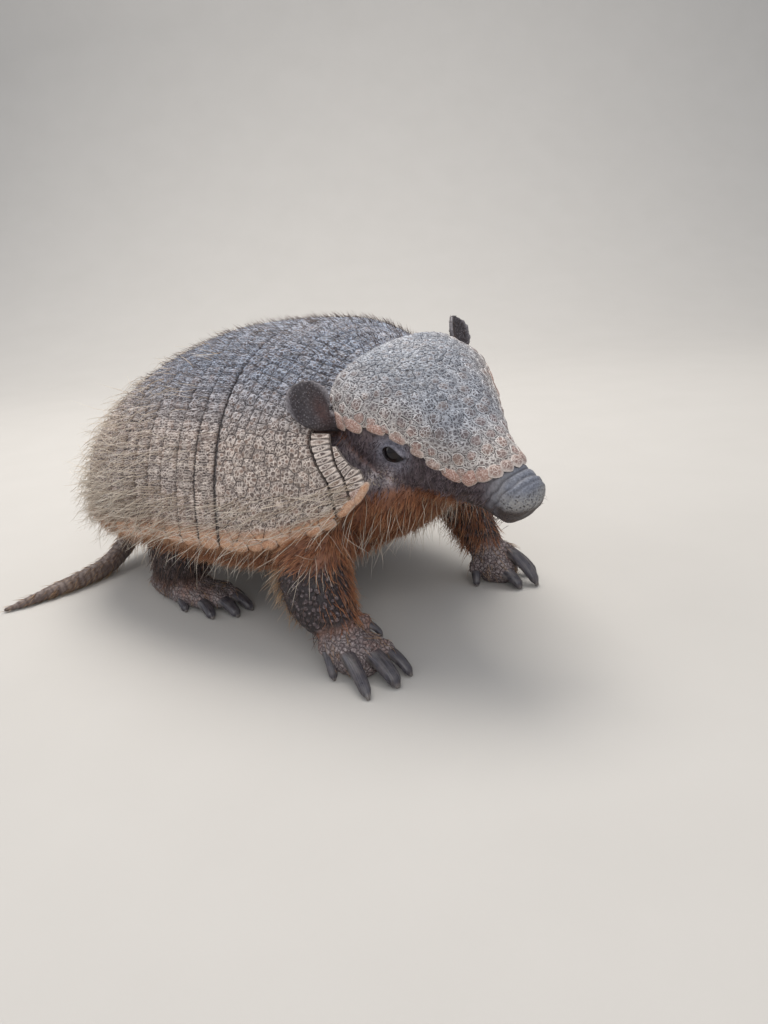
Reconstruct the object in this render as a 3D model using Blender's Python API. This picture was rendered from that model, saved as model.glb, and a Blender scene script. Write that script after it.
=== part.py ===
"""Large hairy armadillo, life size, standing on all fours with its head turned to its right.

X points forward, Y to the animal's left and Z up. Lengths are given in millimetres in the animal's
own frame, whose origin lies on the floor under the body; every mesh is turned into metres when it is
made. The empty "armadillo" then moves the whole animal so that the middle of its box's underside is
at the world's origin.
"""
import math

import bmesh
import bpy
from mathutils import Matrix, Vector

MM = 0.001
BODY_SHIFT = (6.1, 20.4)        # moves the middle of the box to the origin

# Clearances and wall thicknesses
GAP = 0.3                       # between neighbouring solids
SIDE_BAND_GAP = 1.0             # behind each short band beside the neck
PLATE = 2.2                     # bony plates of the back
PLATE_BED = 1.3                 # room between the plates and the flesh under them
ARMOUR_ROOM = 1.2               # room between the plates and what is cut to fit round them
CARAPACE_ARC = 110.0            # from the midline of the back to the rim
CUTTER_HEIGHT = 8.0             # how far the armour's cutter stands above the armour
HEAD_PLATE = 1.5
HEAD_PLATE_BED = 0.8            # room between the head's plate and the head
EAR_WALL = 1.6

# Carapace: (x, half width, height of the back, height of the rim)
CARAPACE = (
    (-141.0, 20.0, 63.0, 55.0), (-128.0, 50.0, 83.0, 50.5), (-105.0, 69.5, 105.0, 46.4),
    (-65.0, 77.6, 123.6, 44.3), (-25.0, 77.5, 133.2, 48.6), (15.0, 70.4, 134.7, 48.6),
    (62.0, 50.2, 118.5, 61.1), (72.0, 44.5, 112.5, 65.5))
CARAPACE_SIDE = 0.85            # exponents of the cross section
CARAPACE_TOP = 0.87
RIM_REACH = ((48.0, 1.0), (58.0, 0.983), (63.0, 0.953), (70.0, 0.887))
FIRST_BAND_X = 5.66             # rear edge of the scapular shield
BAND_WIDTH = 10.7
BAND_COUNT = 7
REAR_X = -140.0
# Front edges, as (distance from the midline on the carapace, x)
SCAPULAR_FRONT = (
    (0.0, 56.5), (0.42, 57.0), (0.56, 49.5), (0.66, 46.5), (0.76, 49.8), (0.87, 55.4), (1.0, 58.5))
NUCHAL_FRONT = ((0.62, 53.1), (0.78, 57.6), (0.86, 60.9), (0.95, 63.0), (1.0, 64.0))
COLLAR_FRONT = ((0.66, 55.0), (0.78, 61.6), (0.86, 65.9), (0.9, 69.9), (1.0, 70.0))
NUCHAL_TOP = 0.67
COLLAR_TOP = 0.71
AROUND = 18                     # cells from rim to rim

# Trunk: (x, lowest point of the belly's coat)
BELLY = ((-136.0, 42.0), (-122.0, 30.0), (-95.0, 23.0), (-50.0, 20.5), (0.0, 22.0),
         (30.0, 27.0), (50.0, 35.0))
BELLY_TUCK = 2.0                # the belly starts this far inside the rim
BELLY_SIDE = 0.8                # exponents of the belly's cross section
BELLY_DEPTH = 0.7
BELLY_CELLS = 10
TRUNK_STATIONS = (-136.0, -130.0, -120.0, -105.0, -85.0, -60.0, -35.0, -10.0, 12.0, 32.0, 50.0)

# Head, in its own frame: X along the muzzle from the nape, Z up through the crown
HEAD_AT = (56.3, -5.8, 102.9)
HEAD_TURN = (-13.15, 17.46, 11.95)      # yaw, nose down, roll (degrees)
# (x, half width, crown, widest level, jaw, how far each section leans)
HEAD = (
    (-12.0, 21.0, 14.0, 2.0, -22.0, 0.0), (0.0, 33.0, 23.2, 4.5, -30.0, 0.0),
    (12.0, 33.0, 23.2, 5.0, -31.0, 0.0), (28.0, 26.2, 19.9, 3.5, -29.0, 0.0),
    (44.0, 17.6, 14.4, -2.0, -26.0, 0.05), (58.0, 11.2, 8.8, -6.0, -24.0, 0.12),
    (70.0, 9.2, 2.6, -8.0, -22.0, 0.25), (78.0, 9.8, 0.6, -8.8, -21.2, 0.33),
    (82.0, 9.4, -1.6, -9.4, -20.8, 0.35), (85.0, 7.4, -4.6, -10.0, -18.4, 0.35))
HEAD_STATIONS = (-12.0, -4.0, 6.0, 17.0, 28.0, 37.0, 46.0, 55.0, 64.0, 72.0, 79.0, 82.5, 85.0)
HEAD_CURVE = 0.87
HEAD_CELLS = (10, 7)            # over the crown and under the jaw
CHEEK_ROUNDING = ((0.0, 0.5), (28.0, 0.55), (50.0, 0.8), (86.0, 0.9))
SHIELD_REAR = (
    (0.0, -0.5), (0.2, -0.5), (0.42, 5.5), (0.62, 11.0), (0.77, 11.5), (0.92, 4.0), (1.0, 4.5))
SHIELD_FRONT_X = 70.5
SHIELD_FRONT_SWEEP = 11.0
SHIELD_HALF_ARC = 50.0          # from the crown to the shield's lower edge
EYE_RADIUS = 4.7
EYE_AT = (28.4, 21.2, -4.2)     # the left eye's centre, in the head's frame

# Neck: (x, sideways, half width, top, bottom)
NECK = (
    (44.0, 0.0, 47.0, 116.0, 36.0), (52.0, -1.0, 47.0, 110.0, 38.0), (59.0, -3.0, 42.0, 98.0, 42.0),
    (66.0, -6.0, 32.0, 84.0, 47.0), (73.0, -9.0, 22.0, 77.0, 55.0), (79.0, -12.0, 10.0, 73.0, 65.0))
NECK_SIDES = 18
NECK_CURVE = 0.9

# Ears: root, direction of the tip, direction that the hollow faces
EAR_LENGTH = 23.5
EAR_HALF_WIDTH = 9.2
EARS = {
    "ear_right": ((51.8, -48.2, 94.6), (-0.33, -0.15, 0.95), (0.80, -0.58, 0.25)),
    "ear_left": ((61.5, 31.0, 107.5), (-0.16, 0.28, 0.95), (0.92, 0.15, 0.10)),
}

# Limbs: (centre, radius) from the body down
LIMBS = {
    "foreleg_right": (
        ((35, -36, 59), 16.0), ((39, -48, 51), 17.4), ((43, -55, 39.5), 17.0),
        ((48, -57, 30), 15.4), ((53.5, -57.5, 23), 13.0), ((58, -57.5, 18), 10.6)),
    "foreleg_left": (
        ((36, 36, 59), 16.0), ((41, 46, 51), 16.6), ((47, 50, 40), 14.5),
        ((52, 49.5, 30), 11.6), ((57, 48.5, 23), 10.0), ((60, 48, 19), 9.2)),
    "hind_leg_right": (
        ((-64, -42, 62), 20.0, 30.0), ((-58, -50, 44), 17.5, 26.0), ((-54, -54, 31), 15.0, 22.0),
        ((-57, -55, 21), 12.0, 16.0), ((-62, -55.5, 13), 9.5, 11.0)),
    "hind_leg_left": (
        ((-70, 42, 62), 20.0, 30.0), ((-64, 50, 44), 17.5, 26.0), ((-60, 54, 31), 15.0, 22.0),
        ((-63, 55, 21), 12.0, 16.0), ((-68, 55.5, 13), 9.5, 11.0)),
}
# Feet: (centre, half width, half height) from the wrist or heel forward
FEET = {
    "forefoot_right": (
        ((55, -57, 18), 9.0, 7.5), ((61, -57.3, 13), 10.6, 9.0), ((67, -58, 7.8), 11.0, 9.8),
        ((73, -58.5, 5.8), 9.5, 7.4)),
    "forefoot_left": (
        ((57.5, 48.5, 20), 8.6, 7.2), ((62, 48.5, 15), 10.0, 9.0), ((66.5, 48.5, 7.8), 10.4, 10.6),
        ((71, 49, 5.9), 9.0, 8.1)),
    "hindfoot_right": (
        ((-79, -55.5, 6), 5.0, 4.5), ((-70, -55.5, 7.5), 8.0, 8.5), ((-58, -55, 8), 9.5, 9.6),
        ((-46, -54, 7), 11.0, 8.0), ((-36, -52.5, 5.5), 10.0, 5.6)),
    "hindfoot_left": (
        ((-85, 55.5, 6), 5.0, 4.5), ((-76, 55.5, 7.5), 8.0, 8.5), ((-64, 55, 8), 9.5, 9.6),
        ((-52, 54, 7), 11.0, 8.0), ((-42, 52.5, 5.5), 10.0, 5.6)),
}
FOOT_SIDEWAYS = {
    "forefoot_right": (0.35, 0.94, 0.0), "forefoot_left": (0.0, 1.0, 0.0),
    "hindfoot_right": (0.1, 1.0, 0.0), "hindfoot_left": (-0.1, 1.0, 0.0),
}
# Digits: (root, start of the claw, tip of the claw, toe radius, half width of the claw)
DIGITS = {
    "forefoot_right": (
        ((60, -53, 17), (65.5, -49, 17), (71.5, -44.5, 10), 4.0, 2.2),
        ((66, -53, 12), (79, -50.6, 8.6), (91, -50.2, 0.5), 4.0, 2.9),
        ((66, -57, 12), (76.5, -58, 10), (92.4, -60, 0.5), 5.0, 4.1),
        ((62, -60, 12), (68.5, -64, 10.5), (88.4, -73.1, 0.5), 4.6, 3.3),
        ((58, -61, 12), (58.5, -64.8, 10), (67.4, -70.5, 0.5), 4.0, 2.5)),
    "forefoot_left": (
        ((61, 43.5, 14), (60.5, 39.5, 7.5), (64.2, 34.6, 0.5), 3.8, 2.3),
        ((61, 45, 15), (73, 44.3, 7), (84.3, 43.8, 0.5), 5.0, 3.6),
        ((62, 49, 16), (70.5, 52.5, 15), (89.2, 51, 0.5), 4.4, 3.8),
        ((60, 53, 15), (66, 59, 12), (82, 62, 0.5), 4.2, 3.2),
        ((58, 55, 13), (59, 62, 9), (67, 67, 0.5), 3.8, 2.4)),
    "hindfoot_right": (
        ((-46, -47, 6), (-36, -42.5, 5.8), (-27, -39, 0.5), 3.8, 2.6),
        ((-42, -50, 6.5), (-25.5, -47.3, 6.6), (-13.4, -45.4, 0.5), 4.3, 3.2),
        ((-42, -54, 6.5), (-25.5, -54.6, 6.8), (-13.3, -54.2, 0.5), 4.5, 3.5),
        ((-46, -58, 6.5), (-34, -60.3, 6.4), (-22.3, -62.6, 0.5), 4.3, 3.2),
        ((-56, -60, 6), (-49, -62.5, 5.6), (-40.8, -65, 0.5), 3.8, 2.6)),
    "hindfoot_left": (
        ((-52, 47, 6), (-42, 42.5, 5.8), (-33, 39, 0.5), 3.8, 2.6),
        ((-48, 50, 6.5), (-31.5, 47.3, 6.6), (-19.4, 45.4, 0.5), 4.3, 3.2),
        ((-48, 54, 6.5), (-31.5, 54.6, 6.8), (-19.3, 54.2, 0.5), 4.5, 3.5),
        ((-52, 58, 6.5), (-40, 60.3, 6.4), (-28.3, 62.6, 0.5), 4.3, 3.2),
        ((-62, 60, 6), (-55, 62.5, 5.6), (-46.8, 65, 0.5), 3.8, 2.6)),
}
CLAW_ROOT = 2.6                 # length of claw held in the toe
CLAW_SIDES = 6

# Tail: (centre, radius), from inside the rump to the tip; it drops to the floor and turns to the right
TAIL = (
    ((-118, 0, 50), 9.5), ((-133, -3, 44), 8.6), ((-138, -13, 33), 7.6), ((-135, -29, 20), 6.6),
    ((-128, -46, 10), 5.8), ((-123, -62, 5.3), 5.5), ((-121, -78, 4.6), 4.9),
    ((-121.5, -93, 3.6), 3.9), ((-123, -107, 2.4), 2.6), ((-125.5, -118, 1.2), 1.3))
TAIL_CUT = 4                    # the tail's base and its tip meet here
LIMB_SIDES = 10
TAIL_SIDES = 8
TOE_SIDES = 6

ARMOUR_GREY = ((0.19, 0.15, 0.13), 0.62)
HEAD_ARMOUR = ((0.21, 0.17, 0.15), 0.6)
SKIN_BROWN = ((0.075, 0.05, 0.05), 0.7)
COAT_RUST = ((0.36, 0.15, 0.06), 0.85)
FOOT_MAUVE = ((0.17, 0.09, 0.08), 0.65)
CLAW_SLATE = ((0.06, 0.055, 0.06), 0.35)
EYE_BLACK = ((0.01, 0.008, 0.007), 0.08)


# ---------------------------------------------------------------- curves and surfaces

def steady(table, x):
    """Value at x of a smooth curve through (x, value) pairs that adds no bumps between them."""
    xs = [row[0] for row in table]
    ys = [row[1] for row in table]
    if x <= xs[0]:
        return ys[0]
    if x >= xs[-1]:
        return ys[-1]
    slopes = [(ys[i + 1] - ys[i]) / (xs[i + 1] - xs[i]) for i in range(len(xs) - 1)]
    tangents = [slopes[0]]
    for before, after in zip(slopes, slopes[1:]):
        tangents.append(0.0 if before * after <= 0.0 else 2.0 * before * after / (before + after))
    tangents.append(slopes[-1])
    i = max(k for k in range(len(xs) - 1) if xs[k] <= x)
    width = xs[i + 1] - xs[i]
    t = (x - xs[i]) / width
    return (ys[i] * (1 + 2 * t) * (1 - t) ** 2 + tangents[i] * width * t * (1 - t) ** 2
            + ys[i + 1] * t * t * (3 - 2 * t) + tangents[i + 1] * width * t * t * (t - 1))


def column(table, k):
    """Pairs of the first value of each row with its k-th value."""
    return [(row[0], row[k]) for row in table]


def signed_power(value, exponent):
    return math.copysign(abs(value) ** exponent, value)


def half_arch(half_width, low, high, side, top, across):
    """Point of an arch: across is -1 at the right foot, 0 at the crown and 1 at the left foot."""
    angle = math.pi / 2 * (1 - across)
    y = half_width * signed_power(math.cos(angle), side)
    z = low + (high - low) * signed_power(math.sin(angle), top)
    return y, z


def carapace_point(x, across):
    half_width = steady(column(CARAPACE, 1), x)
    back = steady(column(CARAPACE, 2), x)
    rim = steady(column(CARAPACE, 3), x)
    y, z = half_arch(half_width, rim, back, CARAPACE_SIDE, CARAPACE_TOP, across)
    return Vector((x, y, z))


def head_point(x, across):
    half_width = steady(column(HEAD, 1), x)
    crown = steady(column(HEAD, 2), x)
    level = steady(column(HEAD, 3), x)
    y, z = half_arch(half_width, level, crown, HEAD_CURVE, HEAD_CURVE, across)
    lean = steady(column(HEAD, 5), x)
    return Vector((x + lean * z, y, z))


def inset(surface, x, across, depth):
    """Point at a depth under a surface, measured along the surface's own normal."""
    step = 0.01
    edge = max(-1.0 + step, min(1.0 - step, across))
    along = surface(x + step, edge) - surface(x - step, edge)
    sideways = surface(x, edge + step) - surface(x, edge - step)
    normal = along.cross(sideways).normalized()
    return surface(x, across) - normal * depth


def rim_reach(x):
    return steady(RIM_REACH, x)


# ---------------------------------------------------------------- meshes and objects

def finish(name, bm, look, parent, smooth_angle=35.0):
    bmesh.ops.triangulate(bm, faces=bm.faces[:])
    bmesh.ops.recalc_face_normals(bm, faces=bm.faces[:])
    bmesh.ops.transform(bm, matrix=Matrix.Scale(MM, 4), verts=bm.verts[:])
    mesh = bpy.data.meshes.new(name)
    bm.to_mesh(mesh)
    bm.free()
    mesh.shade_smooth()
    mesh.set_sharp_from_angle(angle=math.radians(smooth_angle))
    thing = bpy.data.objects.new(name, mesh)
    bpy.context.scene.collection.objects.link(thing)
    thing.parent = parent
    if look is not None:
        mesh.materials.append(principled(name, *look))
    return thing


def principled(name, color, roughness):
    material = bpy.data.materials.new(name)
    material.use_nodes = True
    shader = material.node_tree.nodes["Principled BSDF"]
    shader.inputs["Base Color"].default_value = (*color, 1.0)
    shader.inputs["Roughness"].default_value = roughness
    shader.inputs["Metallic"].default_value = 0.0
    return material


def hide_as_cutter(thing):
    thing.hide_render = True
    thing.display_type = "WIRE"
    return thing


def join_or_cut(thing, others, operation):
    for other in others:
        step = thing.modifiers.new(operation.lower(), "BOOLEAN")
        step.operation = operation
        step.solver = "EXACT"
        step.object = other


def loft(rings):
    """Closed tube through rings of points that all have the same number of points."""
    bm = bmesh.new()
    bmesh.ops.create_circle(bm, segments=len(rings[0]), radius=1.0)
    bm.verts.ensure_lookup_table()
    ring = bm.verts[:]
    edges = bm.edges[:]
    set_points(ring, rings[0])
    bmesh.ops.edgeloop_fill(bm, edges=edges)
    for points in rings[1:]:
        made = bmesh.ops.extrude_edge_only(bm, edges=edges)["geom"]
        fresh = {v for v in made if isinstance(v, bmesh.types.BMVert)}
        edges = [e for e in made if isinstance(e, bmesh.types.BMEdge) and fresh.issuperset(e.verts)]
        ring = [next(e.other_vert(v) for e in v.link_edges if e.other_vert(v) in fresh) for v in ring]
        set_points(ring, points)
    bmesh.ops.edgeloop_fill(bm, edges=edges)
    return bm


def set_points(verts, points):
    for vert, point in zip(verts, points):
        vert.co = point


def plate(surface, along, across, cells_along, cells_across, outer, inner):
    """Curved plate on a surface. along(u, v) gives x, and across(x, v) how far from the midline."""
    bm = bmesh.new()
    bmesh.ops.create_grid(bm, x_segments=cells_along, y_segments=cells_across, size=1.0)
    made = bmesh.ops.extrude_face_region(bm, geom=bm.faces[:])["geom"]
    for vert in made:
        if isinstance(vert, bmesh.types.BMVert):
            vert.co.z = 1.0
    for vert in bm.verts:
        u = (vert.co.x + 1) / 2
        x = along(u, vert.co.y)
        depth = outer if vert.co.z > 0.5 else inner
        vert.co = inset(surface, x, across(x, vert.co.y), depth)
    return bm


def tube_rings(stations, sides, per_span=1, grow=0.0, side_hint=(0.0, 1.0, 0.0)):
    """Rings round a path of (centre, half width, half height) rows, square to the path."""
    rows = spread(stations, per_span)
    rings = []
    for i, row in enumerate(rows):
        centre = Vector(row[:3])
        ahead = Vector(rows[min(i + 1, len(rows) - 1)][:3]) - Vector(rows[max(i - 1, 0)][:3])
        ahead.normalize()
        sideways = Vector(side_hint)
        sideways = (sideways - ahead * sideways.dot(ahead)).normalized()
        upward = ahead.cross(sideways)
        ring = []
        for k in range(sides):
            angle = 2 * math.pi * k / sides
            ring.append(centre + sideways * ((row[3] + grow) * math.cos(angle))
                        + upward * ((row[4] + grow) * math.sin(angle)))
        rings.append(ring)
    return rings


def spread(stations, per_span):
    """Rows (x, y, z, half width, half height) on a smooth path through the stations."""
    rows = [(*s[0], s[1], s[2] if len(s) > 2 else s[1]) for s in stations]
    if per_span == 1:
        return rows
    steps = [float(i) for i in range(len(rows))]
    curves = [[(i, row[k]) for i, row in zip(steps, rows)] for k in range(5)]
    count = (len(rows) - 1) * per_span
    return [tuple(steady(curve, i / per_span) for curve in curves) for i in range(count + 1)]


# ---------------------------------------------------------------- armour of the body

def span(rear, front):
    """Gives x between two edges, each of which runs from rim to rim."""
    return lambda u, v: rear(abs(v)) + (front(abs(v)) - rear(abs(v))) * u


def rim_to_rim(x, v):
    return v * rim_reach(x)


def make_back_plate(name, rear, front, cells, parent):
    bm = plate(carapace_point, span(rear, front), rim_to_rim, cells, AROUND, 0.0, PLATE)
    return finish(name, bm, ARMOUR_GREY, parent)


def make_body_armour(parent):
    def line(x):
        return lambda v: x

    def scapular_front(v):
        return steady(SCAPULAR_FRONT, v)

    make_back_plate("scapular_shield", line(FIRST_BAND_X + GAP / 2), scapular_front, 5, parent)
    for i in range(BAND_COUNT):
        front = FIRST_BAND_X - i * BAND_WIDTH - GAP / 2
        rear = FIRST_BAND_X - (i + 1) * BAND_WIDTH + GAP / 2
        make_back_plate(f"movable_band_{i + 1}", line(rear), line(front), 1, parent)
    pelvic_front = FIRST_BAND_X - BAND_COUNT * BAND_WIDTH - GAP / 2
    make_back_plate("pelvic_shield", line(REAR_X), line(pelvic_front), 6, parent)
    for side, sign in (("right", -1.0), ("left", 1.0)):
        make_side_band(f"nuchal_band_1_{side}", sign, NUCHAL_TOP, SCAPULAR_FRONT, NUCHAL_FRONT, parent)
        make_side_band(f"nuchal_band_2_{side}", sign, COLLAR_TOP, NUCHAL_FRONT, COLLAR_FRONT, parent)


def make_side_band(name, sign, top, rear, front, parent):
    """Short band beside the neck, from just under the ear down to the rim."""
    def reach(v):
        return top + (1.0 - top) * (v + 1) / 2

    def along(u, v):
        low = steady(rear, reach(v)) + SIDE_BAND_GAP
        return low + (steady(front, reach(v)) - low) * u

    def across(x, v):
        return sign * reach(v) * rim_reach(x)

    bm = plate(carapace_point, along, across, 1, 5, 0.0, PLATE)
    finish(name, bm, ARMOUR_GREY, parent)


def armour_envelope(parent):
    """Cutter a little larger than all the plates of the back together."""
    def along(u, v):
        edge = COLLAR_FRONT if abs(v) > COLLAR_TOP else SCAPULAR_FRONT
        return REAR_X - GAP + (steady(edge, abs(v)) + 2 * GAP - REAR_X) * u

    def across(x, v):
        return v * (rim_reach(x) + ARMOUR_ROOM / CARAPACE_ARC)

    bm = plate(carapace_point, along, across, 14, AROUND, -CUTTER_HEIGHT, PLATE + ARMOUR_ROOM)
    return hide_as_cutter(finish("armour_cutter", bm, None, parent))


# ---------------------------------------------------------------- trunk, neck and tail

def trunk_ring(x, grow):
    depth = PLATE + PLATE_BED - grow
    points = [inset(carapace_point, x, -1 + 2 * i / AROUND, depth) for i in range(AROUND + 1)]
    right, left = points[0], points[-1]
    bottom = steady(BELLY, x) - grow
    half_width = left.y - BELLY_TUCK + grow
    top = left.z - BELLY_TUCK
    for k in range(BELLY_CELLS):
        angle = math.pi * (k + 0.5) / BELLY_CELLS
        y = half_width * signed_power(math.cos(angle), BELLY_SIDE)
        z = top - (top - bottom) * math.sin(angle) ** BELLY_DEPTH
        points.append(Vector((x, y, z)))
    return points


def make_trunk(name, grow, parent):
    stations = list(TRUNK_STATIONS)
    stations[0] -= grow
    stations[-1] += grow
    bm = loft([trunk_ring(x, grow) for x in stations])
    return finish(name, bm, COAT_RUST if grow == 0.0 else None, parent)


def neck_ring(x, sideways, half_width, top, bottom):
    middle = (top + bottom) / 2
    ring = []
    for k in range(NECK_SIDES):
        angle = 2 * math.pi * k / NECK_SIDES
        y = sideways + half_width * signed_power(math.cos(angle), NECK_CURVE)
        z = middle + (top - middle) * signed_power(math.sin(angle), NECK_CURVE)
        ring.append(Vector((x, y, z)))
    return ring


def make_neck(parent):
    return finish("neck", loft([neck_ring(*row) for row in NECK]), COAT_RUST, parent)


def make_tail(parent):
    per_span = 2
    rings = tube_rings(TAIL, TAIL_SIDES, per_span, side_hint=(1.0, 0.0, 0.0))
    cut = TAIL_CUT * per_span
    base, tip = rings[:cut + 1], rings[cut:]
    base[-1] = [end.lerp(before, 2 * GAP / (end - before).length) for end, before in zip(base[-1], base[-2])]
    return (finish("tail_base", loft(base), SKIN_BROWN, parent),
            finish("tail_tip", loft(tip), SKIN_BROWN, parent))


# ---------------------------------------------------------------- head

def head_matrix():
    yaw, pitch, roll = (math.radians(a) for a in HEAD_TURN)
    turn = Matrix.Rotation(yaw, 4, "Z") @ Matrix.Rotation(pitch, 4, "Y") @ Matrix.Rotation(roll, 4, "X")
    return Matrix.Translation(Vector(HEAD_AT) * MM) @ turn


def head_ring(x, grow):
    over = HEAD_CELLS[0]
    points = [inset(head_point, x, -1 + 2 * i / over, -grow) for i in range(over + 1)]
    half_width = steady(column(HEAD, 1), x) + grow
    level = steady(column(HEAD, 3), x)
    jaw = steady(column(HEAD, 4), x) - grow
    lean = steady(column(HEAD, 5), x)
    under = HEAD_CELLS[1]
    for k in range(1, under + 1):
        angle = math.pi * k / (under + 1)
        y = half_width * signed_power(math.cos(angle), steady(CHEEK_ROUNDING, x))
        z = level - (level - jaw) * math.sin(angle)
        points.append(Vector((x + lean * z, y, z)))
    return points


def make_head(name, grow, parent):
    stations = list(HEAD_STATIONS)
    stations[0] -= grow
    stations[-1] += grow
    rings = [head_ring(x, grow) for x in stations]
    head = finish(name, loft(rings), SKIN_BROWN if grow == 0.0 else None, parent)
    head.matrix_local = head_matrix()
    return head


def make_head_shield(name, grow, parent):
    def along(u, v):
        rear = steady(SHIELD_REAR, abs(v)) - grow
        front = SHIELD_FRONT_X - SHIELD_FRONT_SWEEP * abs(v) ** 1.5 + grow
        return rear + (front - rear) * u

    def across(x, v):
        return v * (1 + grow / SHIELD_HALF_ARC)

    outer = -HEAD_PLATE_BED - HEAD_PLATE - grow
    bm = plate(head_point, along, across, 9, 12, outer, -HEAD_PLATE_BED + grow)
    shield = finish(name, bm, HEAD_ARMOUR if grow == 0.0 else None, parent)
    shield.matrix_local = head_matrix()
    return shield


def make_eye(side, sign, grow, parent):
    bm = bmesh.new()
    bmesh.ops.create_uvsphere(bm, u_segments=10, v_segments=6, radius=EYE_RADIUS + grow)
    centre = Vector((EYE_AT[0], EYE_AT[1] * sign, EYE_AT[2]))
    bmesh.ops.translate(bm, verts=bm.verts[:], vec=centre)
    name = f"eye_{side}" if grow == 0.0 else f"eye_{side}_cutter"
    eye = finish(name, bm, EYE_BLACK if grow == 0.0 else None, parent)
    eye.matrix_local = head_matrix()
    return eye


def ear_point(root, tip, facing, u, v, depth):
    """Point of a spoon-shaped ear: u runs from root to tip and v from edge to edge."""
    root, tip, facing = Vector(root), Vector(tip).normalized(), Vector(facing)
    facing = (facing - tip * facing.dot(tip)).normalized()
    sideways = tip.cross(facing)
    width = EAR_HALF_WIDTH * math.sqrt(max(0.0, 1 - (2 * (0.14 + 0.84 * u) - 1) ** 2)) ** 0.9
    width *= 0.62 + 0.38 * min(1.0, 1.8 * u)
    curl = 0.55 * width * (1 - 0.35 * u)
    forward = curl * v * v - depth
    return root + tip * (EAR_LENGTH * u) + sideways * (width * v) + facing * forward


def make_ear(name, grow, parent):
    root, tip, facing = EARS[name]
    bm = bmesh.new()
    bmesh.ops.create_grid(bm, x_segments=5, y_segments=6, size=1.0)
    made = bmesh.ops.extrude_face_region(bm, geom=bm.faces[:])["geom"]
    for vert in made:
        if isinstance(vert, bmesh.types.BMVert):
            vert.co.z = 1.0
    for vert in bm.verts:
        u = (vert.co.x + 1) / 2
        depth = -grow if vert.co.z > 0.5 else EAR_WALL + grow
        vert.co = ear_point(root, tip, facing, u, vert.co.y * (1 + grow / EAR_HALF_WIDTH), depth)
    look = SKIN_BROWN if grow == 0.0 else None
    return finish(name if grow == 0.0 else f"{name}_cutter", bm, look, parent)


# ---------------------------------------------------------------- limbs, feet and claws

def make_limb(name, grow, parent):
    rings = tube_rings(LIMBS[name], LIMB_SIDES, grow=grow)
    look = SKIN_BROWN if grow == 0.0 else None
    return finish(name if grow == 0.0 else f"{name}_cutter", loft(rings), look, parent)


def claw_rings(base, tip, half_width, grow):
    """A claw arches a little and narrows to a blunt, rounded end."""
    base, tip = Vector(base), Vector(tip)
    ahead = (tip - base).normalized()
    sideways = Vector((0, 0, 1)).cross(ahead).normalized()
    upward = ahead.cross(sideways)
    length = (tip - base).length
    rings = []
    for t, size in ((-CLAW_ROOT / length, 0.95), (0.3, 1.0), (0.72, 0.72), (0.97, 0.28)):
        centre = base + ahead * (length * t) + upward * (length * 0.32 * max(t, 0) * (1 - t))
        wide = half_width * size + grow
        high = half_width * 0.78 * size + grow
        ring = []
        for k in range(CLAW_SIDES):
            angle = 2 * math.pi * k / CLAW_SIDES
            ring.append(centre + sideways * (wide * math.cos(angle)) + upward * (high * math.sin(angle)))
        rings.append(ring)
    return rings


def make_foot(name, leg, floor, parent):
    rings = tube_rings(FEET[name], LIMB_SIDES, side_hint=FOOT_SIDEWAYS[name])
    foot = finish(name, loft(rings), FOOT_MAUVE, parent)
    toes, cutters = [], []
    for i, (root, base, tip, radius, half_width) in enumerate(DIGITS[name], start=1):
        toe_path = ((root, radius * 1.05, radius * 1.05), (base, radius, radius * 0.95))
        toe = finish(f"{name}_toe_{i}", loft(tube_rings(toe_path, TOE_SIDES)), None, parent)
        toes.append(hide_as_cutter(toe))
        claw = finish(f"{name}_claw_{i}", loft(claw_rings(base, tip, half_width, 0.0)), CLAW_SLATE, parent)
        join_or_cut(claw, [floor], "DIFFERENCE")
        room = finish(f"{name}_claw_{i}_cutter", loft(claw_rings(base, tip, half_width, GAP)), None, parent)
        cutters.append(hide_as_cutter(room))
    join_or_cut(foot, toes, "UNION")
    join_or_cut(foot, cutters + [floor], "DIFFERENCE")
    join_or_cut(leg, [hide_as_cutter(foot_cutter(name, parent))], "DIFFERENCE")
    return foot


def foot_cutter(name, parent):
    rings = tube_rings(FEET[name], LIMB_SIDES, grow=GAP, side_hint=FOOT_SIDEWAYS[name])
    return finish(f"{name}_cutter", loft(rings), None, parent)


def make_floor_cutter(parent):
    bm = bmesh.new()
    bmesh.ops.create_cube(bm, size=1.0)
    bmesh.ops.scale(bm, vec=(500.0, 500.0, 20.0), verts=bm.verts[:])
    bmesh.ops.translate(bm, vec=(0.0, 0.0, -10.0), verts=bm.verts[:])
    return hide_as_cutter(finish("floor_cutter", bm, None, parent))


# ---------------------------------------------------------------- the animal

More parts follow.
